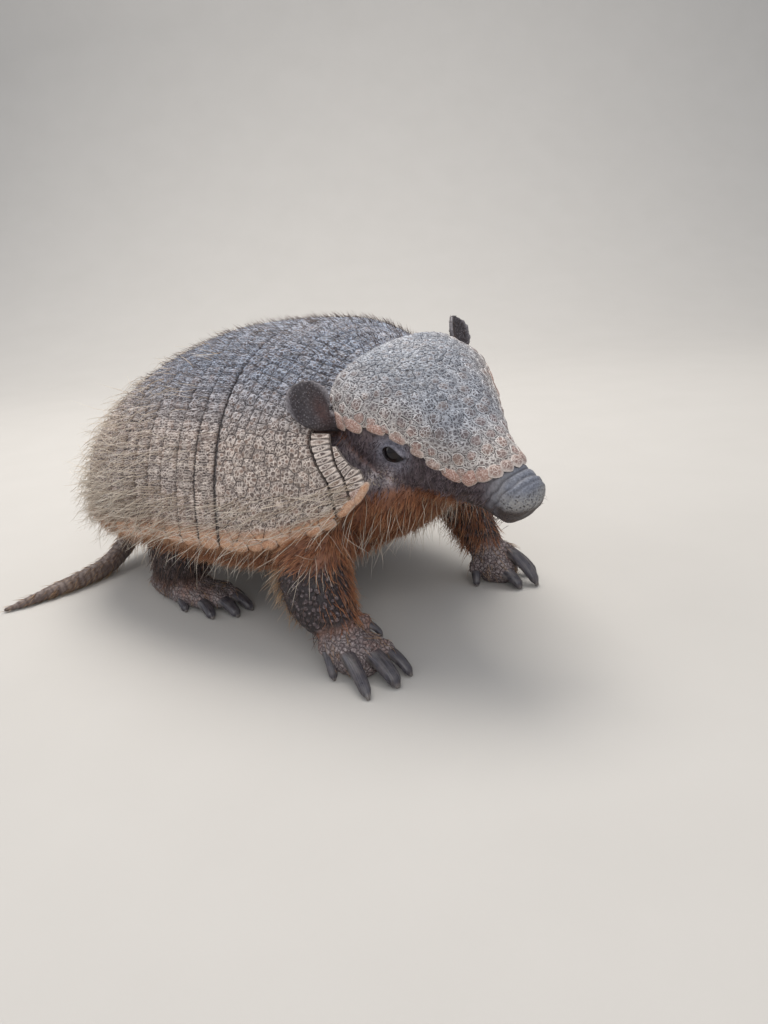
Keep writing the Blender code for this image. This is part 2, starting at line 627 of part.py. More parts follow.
def build():
    for thing in list(bpy.data.objects):
        bpy.data.objects.remove(thing, do_unlink=True)
    animal = bpy.data.objects.new("armadillo", None)
    animal.location = (BODY_SHIFT[0] * MM, BODY_SHIFT[1] * MM, 0.0)
    bpy.context.scene.collection.objects.link(animal)

    make_body_armour(animal)
    armour = armour_envelope(animal)
    make_trunk("trunk", 0.0, animal)
    trunk_room = hide_as_cutter(make_trunk("trunk_cutter", GAP, animal))
    floor = make_floor_cutter(animal)

    head = make_head("head", 0.0, animal)
    head_room = hide_as_cutter(make_head("head_cutter", GAP, animal))
    make_head_shield("head_shield", 0.0, animal)
    shield_room = hide_as_cutter(make_head_shield("head_shield_cutter", GAP, animal))
    ear_rooms = []
    for name in EARS:
        make_ear(name, 0.0, animal)
        ear_rooms.append(hide_as_cutter(make_ear(name, GAP, animal)))
    eye_rooms = []
    for side, sign in (("right", -1.0), ("left", 1.0)):
        make_eye(side, sign, 0.0, animal)
        eye_rooms.append(hide_as_cutter(make_eye(side, sign, GAP, animal)))
    join_or_cut(head, [trunk_room, armour] + ear_rooms + eye_rooms, "DIFFERENCE")

    neck = make_neck(animal)
    join_or_cut(neck, [armour, trunk_room, head_room, shield_room] + ear_rooms, "DIFFERENCE")

    base, tip = make_tail(animal)
    join_or_cut(base, [trunk_room, armour, floor], "DIFFERENCE")
    join_or_cut(tip, [floor], "DIFFERENCE")

    for foot, leg_name in (("forefoot_right", "foreleg_right"), ("forefoot_left", "foreleg_left"),
                           ("hindfoot_right", "hind_leg_right"), ("hindfoot_left", "hind_leg_left")):
        leg = make_limb(leg_name, 0.0, animal)
        join_or_cut(leg, [trunk_room, armour], "DIFFERENCE")
        make_foot(foot, leg, floor, animal)
        if leg_name.startswith("foreleg"):
            join_or_cut(neck, [hide_as_cutter(make_limb(leg_name, GAP, animal))], "DIFFERENCE")


build()
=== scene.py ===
"""Large hairy armadillo, life size: armour, skin, eyes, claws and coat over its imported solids.

Shapes are worked out in millimetres in the animal's own frame: its origin lies on the floor under the
body, X points forward, Y to the animal's left and Z up. place() turns a finished mesh into metres in the
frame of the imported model.
"""
import math

import bmesh
import bpy
import numpy as np
from mathutils import Matrix, Vector, kdtree


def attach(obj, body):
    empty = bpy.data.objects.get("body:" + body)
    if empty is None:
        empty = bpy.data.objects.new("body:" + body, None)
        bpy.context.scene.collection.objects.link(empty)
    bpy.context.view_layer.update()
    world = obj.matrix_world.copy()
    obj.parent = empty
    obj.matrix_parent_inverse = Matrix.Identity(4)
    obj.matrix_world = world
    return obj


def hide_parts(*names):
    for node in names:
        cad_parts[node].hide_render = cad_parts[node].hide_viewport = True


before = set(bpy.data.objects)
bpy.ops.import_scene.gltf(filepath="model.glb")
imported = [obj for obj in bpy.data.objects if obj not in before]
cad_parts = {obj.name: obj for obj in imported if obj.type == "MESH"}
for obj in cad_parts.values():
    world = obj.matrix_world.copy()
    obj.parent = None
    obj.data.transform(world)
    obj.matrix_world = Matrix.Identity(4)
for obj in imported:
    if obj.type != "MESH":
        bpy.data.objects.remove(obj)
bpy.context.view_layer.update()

MM = 0.001
BODY_SHIFT = np.array((6.1, 20.4, 0.0))
SEED = 7

# Carapace: (x, half width, height of the back, height of the rim)
CARAPACE = (
    (-141.0, 20.0, 63.0, 55.0), (-128.0, 50.0, 83.0, 50.5), (-105.0, 69.5, 105.0, 46.4),
    (-65.0, 77.6, 123.6, 44.3), (-25.0, 77.5, 133.2, 48.6), (15.0, 70.4, 134.7, 48.6),
    (62.0, 50.2, 118.5, 61.1), (72.0, 44.5, 112.5, 65.5))
CARAPACE_SIDE = 0.85
CARAPACE_TOP = 0.87
RIM_REACH = ((48.0, 1.0), (58.0, 0.983), (63.0, 0.953), (70.0, 0.887))
FIRST_BAND_X = 5.66
BAND_WIDTH = 10.7
BAND_COUNT = 7
REAR_X = -140.0
SCAPULAR_FRONT = (
    (0.0, 56.5), (0.42, 57.0), (0.56, 49.5), (0.66, 46.5), (0.76, 49.8), (0.87, 55.4), (1.0, 58.5))
NUCHAL_FRONT = ((0.62, 53.1), (0.78, 57.6), (0.86, 60.9), (0.95, 63.0), (1.0, 64.0))
COLLAR_FRONT = ((0.66, 55.0), (0.78, 61.6), (0.86, 65.9), (0.9, 69.9), (1.0, 70.0))
NUCHAL_TOP = 0.64
COLLAR_TOP = 0.70
PLATE = 2.2                     # thickness of the armour
FAR = 9.0                       # stands for no rim, furrow, scale or lid nearby

# Head, in its own frame: X along the muzzle from the nape, Z up through the crown
HEAD_AT = (56.3, -5.8, 102.9)
HEAD_TURN = (-13.15, 17.46, 11.95)      # yaw, nose down, roll (degrees)
# (x, half width, crown, widest level, jaw, how far each section leans)
HEAD = (
    (-12.0, 21.0, 14.0, 2.0, -22.0, 0.0), (0.0, 33.0, 23.2, 4.5, -30.0, 0.0),
    (12.0, 33.0, 23.2, 5.0, -31.0, 0.0), (28.0, 26.2, 19.9, 3.5, -29.0, 0.0),
    (44.0, 17.6, 14.4, -2.0, -26.0, 0.05), (58.0, 11.2, 8.8, -6.0, -24.0, 0.12),
    (70.0, 9.2, 2.6, -8.0, -22.0, 0.25), (78.0, 9.8, 0.6, -8.8, -21.2, 0.33),
    (82.0, 9.4, -1.6, -9.4, -20.8, 0.35), (85.0, 7.4, -4.6, -10.0, -18.4, 0.35))
HEAD_CURVE = 0.87
CHEEK_ROUNDING = ((0.0, 0.5), (28.0, 0.55), (50.0, 0.8), (86.0, 0.9))
SHIELD_FRONT_X = 70.5
SHIELD_FRONT_SWEEP = 11.0
SHIELD_HEIGHT = 2.3                     # outer face of the head's shield above the head
EYE_AT = (27.0, 21.2, -3.5)
EYE_BALL = 5.5                          # radius
LID_FRONT = 4.9                         # from the eye's middle to the front corner of its lids
LID_REAR = 3.5
LID_HALF_HEIGHT = 3.1
LIDS_REACH = 11.5               # how far from the ball's middle the skin belongs to the lids


# ---------------------------------------------------------------- curves and surfaces

def curve(rows, k=1):
    """Smooth curve through the first and k-th values of rows that adds no bumps between them."""
    xs = np.array([row[0] for row in rows], float)
    ys = np.array([row[k] for row in rows], float)
    widths = np.diff(xs)
    slopes = np.diff(ys) / widths
    before, after = slopes[:-1], slopes[1:]
    steady = before * after > 0
    inner = np.where(steady, 2 * before * after / np.where(steady, before + after, 1.0), 0.0)
    tangents = np.concatenate(([slopes[0]], inner, [slopes[-1]]))

    def value(x):
        x = np.clip(x, xs[0], xs[-1])
        i = np.clip(np.searchsorted(xs, x, side="right") - 1, 0, len(xs) - 2)
        t = (x - xs[i]) / widths[i]
        return (ys[i] * (1 + 2 * t) * (1 - t) ** 2 + tangents[i] * widths[i] * t * (1 - t) ** 2
                + ys[i + 1] * t * t * (3 - 2 * t) + tangents[i + 1] * widths[i] * t * t * (t - 1))
    return value


def signed_power(value, exponent):
    return np.sign(value) * np.abs(value) ** exponent


def unit(vectors):
    return vectors / np.maximum(np.linalg.norm(vectors, axis=-1, keepdims=True), 1e-9)


def smooth_step(low, high, value):
    t = np.clip((value - low) / (high - low), 0.0, 1.0)
    return t * t * (3 - 2 * t)


def hump(value, centre, width):
    return np.exp(-((value - centre) / width) ** 2)


CARAPACE_CURVES = [curve(CARAPACE, k) for k in (1, 2, 3)]
HEAD_CURVES = [curve(HEAD, k) for k in (1, 2, 3, 4, 5)]
CHEEK = curve(CHEEK_ROUNDING)
RIM = curve(RIM_REACH)


def carapace(x, v):
    """Points of the carapace: v is -1 at the right rim, 0 on the back and 1 at the left rim."""
    half_width, back, rim = (f(x) for f in CARAPACE_CURVES)
    angle = np.pi / 2 * (1 - v)
    y = half_width * signed_power(np.cos(angle), CARAPACE_SIDE)
    z = rim + (back - rim) * signed_power(np.sin(angle), CARAPACE_TOP)
    return np.stack([x, y, z], -1)


def crown(x, v):
    """Points of the head's upper half, in the head's frame."""
    half_width, top, level, _, lean = (f(x) for f in HEAD_CURVES)
    angle = np.pi / 2 * (1 - v)
    y = half_width * signed_power(np.cos(angle), HEAD_CURVE)
    z = level + (top - level) * signed_power(np.sin(angle), HEAD_CURVE)
    return np.stack([x + lean * z, y, z], -1)


def outward(surface, x, v, step=0.01):
    edge = np.clip(v, step - 1, 1 - step)
    along = surface(x + step, edge) - surface(x - step, edge)
    across = surface(x, edge + step) - surface(x, edge - step)
    return unit(np.cross(along, across))


def head_axes():
    yaw, pitch, roll = (math.radians(a) for a in HEAD_TURN)
    turn = Matrix.Rotation(yaw, 3, "Z") @ Matrix.Rotation(pitch, 3, "Y") @ Matrix.Rotation(roll, 3, "X")
    return np.array(turn)


HEAD_AXES = head_axes()


def from_head(points):
    return points @ HEAD_AXES.T + np.array(HEAD_AT)


def to_head(points):
    return (points - np.array(HEAD_AT)) @ HEAD_AXES


def distance_along(line):
    """Distance of each point of a line from its start, along the line."""
    return np.concatenate(([0.0], np.cumsum(np.linalg.norm(np.diff(line, axis=0), axis=1))))


def chance(keys, salt=0.0):
    """A steady random number between 0 and 1 for each whole-number key."""
    return np.modf(np.abs(np.sin(keys * 12.9898 + salt * 78.233 + 1.7) * 43758.5453))[0]


# ---------------------------------------------------------------- meshes

def coordinates(mesh):
    flat = np.empty(len(mesh.vertices) * 3)
    mesh.vertices.foreach_get("co", flat)
    return flat.reshape(-1, 3)


def set_coordinates(mesh, points):
    mesh.vertices.foreach_set("co", np.ascontiguousarray(points, np.float32).ravel())
    mesh.update()


def paint(mesh, **values):
    """Stores one number for each vertex under each name."""
    for name, numbers in values.items():
        layer = mesh.attributes.get(name) or mesh.attributes.new(name, "FLOAT", "POINT")
        layer.data.foreach_set("value", np.ascontiguousarray(numbers, np.float32))


def to_mesh(name, bm):
    mesh = bpy.data.meshes.new(name)
    bm.to_mesh(mesh)
    bm.free()
    return mesh


def add_object(name, mesh, material=None):
    thing = bpy.data.objects.new(name, mesh)
    bpy.context.scene.collection.objects.link(thing)
    if material is not None:
        mesh.materials.append(material)
    return thing


def place(name, mesh, material, slot, *nodes):
    """Finishes a piece: turns it into metres in the model's frame and lets it stand for its nodes."""
    set_coordinates(mesh, (coordinates(mesh) + BODY_SHIFT) * MM)
    mesh.shade_smooth()
    piece = add_object(name, mesh, material)
    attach(piece, "root")
    if nodes:
        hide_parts(*nodes)
    return piece


def applied(thing):
    """The mesh of an object with its modifiers applied; the object itself is removed."""
    mesh = bpy.data.meshes.new_from_object(thing.evaluated_get(bpy.context.evaluated_depsgraph_get()))
    bpy.data.objects.remove(thing)
    return mesh


def join(name, meshes):
    """One mesh from several that carry the same painted values."""
    things = [add_object(f"{name}_{i}", mesh) for i, mesh in enumerate(meshes)]
    with bpy.context.temp_override(active_object=things[0], selected_editable_objects=things):
        bpy.ops.object.join()
    mesh = things[0].data
    bpy.data.objects.remove(things[0])
    mesh.name = name
    return mesh


def face_outwards(mesh):
    bm = bmesh.new()
    bm.from_mesh(mesh)
    bmesh.ops.recalc_face_normals(bm, faces=bm.faces[:])
    bm.to_mesh(mesh)
    bm.free()


def open_edges(bm):
    return [edge for edge in bm.edges if edge.is_boundary]


def tree_of(places):
    tree = kdtree.KDTree(len(places))
    for i, spot in enumerate(places):
        tree.insert(spot, i)
    tree.balance()
    return tree


def nearest_of(places, points):
    """For each point, the number of the place that lies nearest to it."""
    tree = tree_of(places)
    return np.array([tree.find(point)[1] for point in points.tolist()], int)


def figures(points, seeds, owners, weights, near):
    """For each point, the distance to the border of its own figure, and that figure's number.

    A figure is what lies nearest to the seeds of one owner; a seed with a larger weight reaches further.
    """
    tree = tree_of(seeds)
    found = [tree.find_n(point, near) for point in points.tolist()]
    index = np.array([[hit[1] for hit in hits] for hits in found])
    reach = np.array([[hit[2] for hit in hits] for hits in found]) - weights[index]
    whose = owners[index]
    best = reach.argmin(axis=1)
    rows = np.arange(len(points))
    own = whose[rows, best]
    others = np.where(whose == own[:, None], np.inf, reach).min(axis=1)
    edge = np.minimum((others - reach[rows, best]) / 2, FAR)
    return edge, own


def scatter(candidates, spacing, rng, taken=None, clearance=None):
    """Picks candidates at random so that no two lie closer than their spacing."""
    chosen = []
    kept = np.empty((0, 3))
    for i in rng.permutation(len(candidates)):
        point = candidates[i]
        if len(kept) and np.min(np.sum((kept - point) ** 2, axis=1)) < spacing[i] ** 2:
            continue
        if taken is not None and np.min(np.linalg.norm(taken - point, axis=1) - clearance) < 0:
            continue
        chosen.append(i)
        kept = np.vstack([kept, point])
    return np.array(chosen)


# ---------------------------------------------------------------- finishes

class Finish:
    """A material on Blender's Principled shader, with short ways to add nodes in front of it."""

    def __init__(self, name, roughness=0.6):
        self.material = bpy.data.materials.new(name)
        self.material.use_nodes = True
        self.tree = self.material.node_tree
        self.shader = self.tree.nodes["Principled BSDF"]
        self.set("Roughness", roughness)

    def set(self, socket, value):
        self.feed(self.shader.inputs[socket], value)

    def node(self, kind, **settings):
        node = self.tree.nodes.new(kind)
        for key, value in settings.items():
            setattr(node, key, value)
        return node

    def feed(self, socket, value):
        if isinstance(value, bpy.types.NodeSocket):
            self.tree.links.new(value, socket)
        elif isinstance(value, tuple) and len(value) == 3 and socket.type == "RGBA":
            socket.default_value = (*value, 1.0)
        else:
            socket.default_value = value

    def painted(self, name):
        return self.node("ShaderNodeAttribute", attribute_name=name).outputs["Fac"]

    def place(self, stretch=(1.0, 1.0, 1.0)):
        where = self.node("ShaderNodeTexCoord").outputs["Object"]
        mapping = self.node("ShaderNodeMapping")
        self.tree.links.new(where, mapping.inputs["Vector"])
        mapping.inputs["Scale"].default_value = stretch
        return mapping.outputs["Vector"]

    def noise(self, size, detail=3.0, roughness=0.55, vector=None):
        """Noise whose lumps are about size millimetres across."""
        node = self.node("ShaderNodeTexNoise")
        self.feed(node.inputs["Vector"], vector or self.place())
        self.feed(node.inputs["Scale"], 1.0 / (size * MM))
        self.feed(node.inputs["Detail"], detail)
        self.feed(node.inputs["Roughness"], roughness)
        return node.outputs["Fac"]

    def cells(self, size, feature="F1", randomness=1.0, vector=None):
        node = self.node("ShaderNodeTexVoronoi", feature=feature)
        self.feed(node.inputs["Vector"], vector or self.place())
        self.feed(node.inputs["Scale"], 1.0 / (size * MM))
        self.feed(node.inputs["Randomness"], randomness)
        return node.outputs["Distance"]

    def math(self, operation, a, b):
        node = self.node("ShaderNodeMath", operation=operation)
        self.feed(node.inputs[0], a)
        self.feed(node.inputs[1], b)
        return node.outputs[0]

    def times(self, a, b):
        return self.math("MULTIPLY", a, b)

    def spread(self, value, low, high, to_low=0.0, to_high=1.0):
        """Maps low..high onto to_low..to_high and keeps it there."""
        node = self.node("ShaderNodeMapRange", clamp=True)
        for socket, number in zip(node.inputs, (value, low, high, to_low, to_high)):
            self.feed(socket, number)
        return node.outputs["Result"]

    def blend(self, factor, a, b):
        node = self.node("ShaderNodeMix", data_type="RGBA")
        self.feed(node.inputs[0], factor)
        self.feed(node.inputs[6], a)
        self.feed(node.inputs[7], b)
        return node.outputs[2]

    def bump(self, height, depth, strength=1.0):
        """Roughens the surface by a height of 0..1 that stands for depth millimetres."""
        node = self.node("ShaderNodeBump")
        self.feed(node.inputs["Height"], height)
        self.feed(node.inputs["Distance"], depth * MM)
        self.feed(node.inputs["Strength"], strength)
        earlier = self.shader.inputs["Normal"].links
        if earlier:
            self.tree.links.new(earlier[0].from_socket, node.inputs["Normal"])
        self.tree.links.new(node.outputs["Normal"], self.shader.inputs["Normal"])


def armour_finish(name, plate, ridge, plate_in_sky_reflection, ridge_in_sky_reflection, crack):
    """Horny scutes: dark worn fields inside pale raised rims, bluer and darker on top where the sky's
    reflection is painted in, orange at the edge.

    The mesh carries the distance to the nearest pale rim and to the nearest furrow, in millimetres; fine
    pale cracks part the fields into grains about crack millimetres across.
    """
    p = Finish(name, 0.62)
    grain = p.noise(0.9, 4.0)
    fine = p.noise(0.45, 3.0)
    blotch = p.noise(14.0, 3.0)
    patch = p.noise(5.0, 3.0)
    ragged = p.times(p.math("SUBTRACT", fine, 0.5), 0.42)
    near = p.math("ADD", p.painted("near"), ragged)
    wide = p.math("ADD", p.painted("wide"), ragged)
    rim_share = p.spread(near, 0.06, 0.28, 1.0, 0.0)
    furrow = p.times(p.spread(wide, 0.04, 0.34, 1.0, 0.0), p.painted("deep"))
    # the top of the back and the crown of the head take bluer colours: a painted reflection of the sky
    sky_reflection = p.times(p.painted("sky_reflection"), p.spread(blotch, 0.3, 0.6, 0.75, 1.0))
    field = p.blend(sky_reflection, plate, plate_in_sky_reflection)
    rim = p.blend(sky_reflection, ridge, ridge_in_sky_reflection)
    warm_field = p.times(p.spread(p.painted("tint"), 0.45, 1.0, 0.0, 0.75),
                         p.spread(sky_reflection, 0.0, 1.0, 1.0, 0.25))
    field = p.blend(warm_field, field, (0.27, 0.170, 0.125))
    field = p.blend(p.spread(grain, 0.45, 0.72, 0.0, 0.45), field, (0.045, 0.035, 0.036))
    worn = p.times(rim_share, p.spread(grain, 0.25, 0.55, 0.6, 1.0))
    worn = p.times(worn, p.spread(patch, 0.35, 0.6, 0.68, 1.0))
    worn = p.times(worn, p.spread(p.painted("tint"), 0.0, 0.5, 0.7, 1.0))
    cracks = p.times(p.spread(p.cells(crack, "DISTANCE_TO_EDGE"), 0.03, 0.12, 0.62, 0.0),
                     p.spread(patch, 0.35, 0.6, 0.3, 1.0))
    colour = p.blend(p.math("MAXIMUM", worn, cracks), field, rim)
    salmon = p.blend(p.spread(grain, 0.35, 0.7), (0.40, 0.175, 0.085), (0.58, 0.36, 0.22))
    salmon = p.blend(p.spread(patch, 0.45, 0.7, 0.0, 0.6), salmon, (0.42, 0.29, 0.22))
    colour = p.blend(p.painted("warm"), colour, salmon)
    pink = p.blend(p.spread(grain, 0.35, 0.75), (0.30, 0.150, 0.115), (0.44, 0.27, 0.22))
    colour = p.blend(p.painted("pink"), colour, p.blend(p.spread(fine, 0.5, 0.8, 0.0, 0.7), pink, rim))
    colour = p.blend(p.spread(fine, 0.5, 0.75, 0.0, 0.22), colour, rim)
    colour = p.blend(p.spread(fine, 0.25, 0.5, 0.35, 0.0), colour, (0.050, 0.042, 0.045))
    # furrows are dark; the painted shade along the plates' borders and under the marginal scutes is near
    # black too
    colour = p.blend(p.math("MAXIMUM", furrow, p.painted("dark")), colour, (0.020, 0.016, 0.020))
    colour = p.blend(p.spread(blotch, 0.5, 0.75, 0.0, 0.12), colour, (0.40, 0.34, 0.28))
    p.set("Base Color", colour)
    p.set("Roughness", p.spread(rim_share, 0.0, 1.0, 0.62, 0.5))
    p.bump(p.math("SUBTRACT", rim_share, furrow), 0.22, 0.8)
    p.bump(grain, 0.12, 0.8)
    p.bump(fine, 0.05, 0.6)
    return p.material


# ---------------------------------------------------------------- armour

def flat_plate(cells_along, cells_across, rough_along, rough_across):
    """Flat closed plate: its fine upper face at z 0, the foot of its wall at -1, a coarse underside at -2."""
    bm = bmesh.new()
    bmesh.ops.create_grid(bm, x_segments=cells_along, y_segments=cells_across, size=1.0)
    made = bmesh.ops.extrude_edge_only(bm, edges=open_edges(bm))["geom"]
    for vert in made:
        if isinstance(vert, bmesh.types.BMVert):
            vert.co.z = -1.0
    down = Matrix.Translation((0.0, 0.0, -2.0))
    bmesh.ops.create_grid(bm, x_segments=rough_along, y_segments=rough_across, size=1.0, matrix=down)
    bmesh.ops.bridge_loops(bm, edges=open_edges(bm))
    bmesh.ops.recalc_face_normals(bm, faces=bm.faces[:])
    return bm


def even_across(surface, x, cells):
    """Places from -1 to 1 that lie at even distances along the surface at x."""
    fine = np.linspace(-1, 1, 2001)
    length = distance_along(surface(np.full(fine.shape, x), fine))
    return np.interp(np.linspace(0, 1, cells + 1), length / length[-1], fine)


class Shell:
    """A plate's share of a surface: u runs from its rear edge to its front edge, v from side to side."""

    def __init__(self, surface, rear, front, reach=lambda x, v: v, lift=0.0):
        self.surface = surface
        self.rear = rear
        self.front = front
        self.reach = reach
        self.lift = lift

    def where(self, u, v):
        """Places on the surface, as its own x and v."""
        rear = self.rear(np.abs(v))
        x = rear + (self.front(np.abs(v)) - rear) * u
        return x, self.reach(x, v)

    def points(self, u, v):
        x, across = self.where(u, v)
        normal = outward(self.surface, x, across)
        lift = self.lift(x)[..., None] if callable(self.lift) else self.lift
        return self.surface(x, across) + normal * lift, normal

    def rows(self, count, pitch, growth=0.0):
        """Middles of scutes in rows from side to side, with their axes and half their length and width.

        The scutes at the sides are wider than the others by the share growth.
        """
        found = []
        for i in range(count):
            fine = np.linspace(-1.0, 1.0, 1201)
            u = np.full(fine.shape, (i + 0.5) / count)
            line, _ = self.points(u, fine)
            scale = 1 + growth * smooth_step(0.68, 0.93, np.abs(fine))
            steps = np.linalg.norm(np.diff(line, axis=0), axis=1) / scale[1:]
            length = np.concatenate(([0.0], np.cumsum(steps)))
            number = max(1, round(length[-1] / pitch(i)))
            width = length[-1] / number
            places = (np.arange(number) + 0.5 + (0.5 * (i % 2) if number > 3 else 0.0)) * width
            v = np.interp(places, length, fine)
            u = np.full(v.shape, (i + 0.5) / count)
            middle, normal = self.points(u, v)
            ahead, _ = self.points(u + 0.5 / count, v)
            behind, _ = self.points(u - 0.5 / count, v)
            half = np.linalg.norm(ahead - behind, axis=1) / 2
            along = unit(ahead - behind)
            across = unit(np.cross(normal, along))
            found.append((middle, along, across, half, width / 2 * np.interp(v, fine, scale)))
        return [np.concatenate(column) for column in zip(*found)]


def rosettes(middle, along, across, half_length, half_width, rng, grain, heart):
    """Seeds of the small figures of each scute: a heart and a ring of grains round it."""
    seeds, owners, weights = [], [], []
    number = 0
    for m, a, c, length, width in zip(middle, along, across, half_length, half_width):
        spare = max(0.0, length - width)
        count = max(1, int(round(2 * spare * 0.9 / grain)))
        for k in range(count + 1):
            shift = (k / count - 0.5) * 2 * spare * 0.62 if spare > 0.3 else 0.0
            seeds.append(m + a * shift)
            owners.append(number)
            weights.append(heart)
            if spare <= 0.3:
                break
        number += 1
        round_path = 2 * math.pi * 0.68 * width + 4 * spare * 0.8
        ring = max(5, int(round(round_path / grain)))
        start = rng.random()
        for k in range(ring):
            angle = 2 * math.pi * (k + start) / ring
            x = math.cos(angle)
            y = math.sin(angle)
            box = max(abs(x), abs(y)) ** 0.45
            jitter = rng.normal(0.0, 0.14 * grain, 2)
            ahead = x / box * length * 0.70 + jitter[0]
            aside = y / box * width * 0.70 + jitter[1]
            seeds.append(m + a * ahead + c * aside)
            owners.append(number)
            weights.append(rng.normal(0.0, 0.06))
            number += 1
    return np.array(seeds), np.array(owners), np.array(weights)


def lay_plate(name, shell, cells, rough, relief, even_x=None):
    """Closed plate mesh with its scutes raised on it and painted; even_x is where its cells are even."""
    mesh = to_mesh(name, flat_plate(*cells, *rough))
    flat = coordinates(mesh)
    v = flat[:, 1]
    if even_x is not None:
        v = np.interp(v, np.linspace(-1, 1, cells[1] + 1), even_across(shell.surface, even_x, cells[1]))
    u = (flat[:, 0] + 1) / 2
    points, normal = shell.points(u, v)
    top = flat[:, 2] > -0.5
    height, values = relief(points[top], u[top], v[top])
    depth = np.where(flat[:, 2] > -1.5, 1.5, PLATE)
    points[top] += normal[top] * height[:, None]
    points[~top] -= normal[~top] * depth[~top, None]
    set_coordinates(mesh, points)
    face_outwards(mesh)
    for key, numbers in values.items():
        full = np.zeros(len(flat))
        full[top] = numbers
        paint(mesh, **{key: full})
    return mesh


def edge_drop(shell, u, v, points, size=0.9, depth=1.3):
    """How much a plate's face falls away at its borders, where it is rounded."""
    rear, _ = shell.points(np.zeros(u.shape), v)
    front, _ = shell.points(np.ones(u.shape), v)
    border = np.minimum(np.linalg.norm(points - rear, axis=1), np.linalg.norm(points - front, axis=1))
    side, _ = shell.points(u, np.where(v < 0, -1.0, 1.0))
    border = np.minimum(border, np.linalg.norm(points - side, axis=1))
    return depth * (1 - smooth_step(0.0, size, border)), border


SCUTE_STRAY = 0.35              # how far a scute's middle strays from its row
ARMOUR_VALUES = ("near", "wide", "deep", "dark", "tint", "sky_reflection", "warm", "pink")


def body_values(points, big_edge, small_edge, small_owner, v, border):
    """Height and painted values of the back's scutes."""
    furrow = hump(big_edge, 0.0, 0.34)
    ridge = hump(small_edge, 0.0, 0.34)
    swell = 1 - np.exp(-big_edge / 1.0)
    height = 0.40 * swell + 0.16 * ridge - 0.42 * furrow - 0.1
    # dark: painted shade where the plate rounds off at its borders
    dark = 1 - smooth_step(0.1, 0.5, border)
    near = np.where(big_edge < 0.40, 0.40 - big_edge, small_edge)
    values = dict(near=near, wide=big_edge, deep=np.full(len(points), 0.75), dark=dark,
                  tint=chance(small_owner), **flank_values(points, v, dark))
    return height, values


def flank_values(points, v, dark):
    """The back's painted reflection of the sky, which grows with height, and the warm margin along the rim.
    """
    return dict(sky_reflection=smooth_step(88.0, 122.0, points[:, 2]),
                warm=smooth_step(0.955, 0.985, np.abs(v)) * (1 - dark), pink=np.zeros(len(points)))


def scute_relief(shell, rows, rng, grain, heart, gap=0.5):
    """Relief of a shield: scutes in rows, each a heart in a ring of grains."""
    middle, along, across, half_length, half_width = rows
    middle = middle + along * rng.normal(0, SCUTE_STRAY, (len(middle), 1))
    middle = middle + across * rng.normal(0, SCUTE_STRAY, (len(middle), 1))
    seeds, owners, weights = rosettes(middle, along, across, half_length, half_width, rng, grain, heart)
    plain = np.arange(len(middle))

    def relief(points, u, v):
        big_edge, _ = figures(points, middle, plain, np.zeros(len(middle)), 5)
        small_edge, small_owner = figures(points, seeds, owners, weights, 9)
        drop, border = edge_drop(shell, u, v, points)
        height, values = body_values(points, big_edge, small_edge, small_owner, v, border)
        values["dark"] = np.maximum(values["dark"], rear_gap(shell, u, v, points, gap))
        return height - drop, values
    return relief


def rear_gap(shell, u, v, points, gap):
    """Shadow in the fold behind a plate: widest on the flank and thin on the back."""
    rear, _ = shell.points(np.zeros(u.shape), v)
    width = gap * (0.35 + 0.65 * smooth_step(0.35, 0.75, np.abs(v)))
    return 1 - smooth_step(0.5 * width, width, np.linalg.norm(points - rear, axis=1))


def keel_relief(shell, rows, overlap, gap):
    """Scutes of a movable band: long and narrow, each with a keel between two furrows of pits."""
    middle, along, across, _, half_width = rows

    def relief(points, u, v):
        own = nearest_of(middle, points)
        offset = points - middle[own]
        x = np.sum(offset * along[own], axis=1)
        y = np.sum(offset * across[own], axis=1)
        wave = 0.20 * np.sin(x * 1.3 + own * 2.1) + 0.13 * np.sin(x * 2.9 + own)
        half = half_width[own]
        side = np.abs((y + wave) / half)
        streak = np.minimum(np.abs(side - 0.22), np.abs(side - 0.80)) * half
        faint = 0.16 * (0.5 + 0.5 * np.sin(x * 0.9 + own * 4.7))
        furrow = (1 - side) * half
        groove = np.abs(side - 0.55) * half
        pits = 0.5 + 0.5 * np.cos(x * 2.6 + own * 1.7)
        drop, border = edge_drop(shell, u, v, points)
        height = (0.25 * hump(side, 0.0, 0.3) + 0.2 * hump(streak, 0.0, 0.3) - 0.28 * hump(furrow, 0.0, 0.3)
                  - 0.24 * hump(groove, 0.0, 0.22) * (0.3 + 0.7 * pits) - 0.05)
        height += overlap * (1 - smooth_step(0.0, 0.8, u))
        # dark: painted shade at the band's borders and in the fold behind it
        dark = np.maximum(1 - smooth_step(0.15, 0.6, border), rear_gap(shell, u, v, points, gap))
        wide = np.minimum(furrow + 0.08, groove + 0.28 * (1 - pits))
        values = dict(near=0.75 * streak + 0.6 * faint, wide=wide, deep=np.full(len(points), 0.62), dark=dark,
                      tint=chance(own * 3.0 + np.floor(x / 2.6), 2.0), **flank_values(points, v, dark))
        return height - drop, values
    return relief


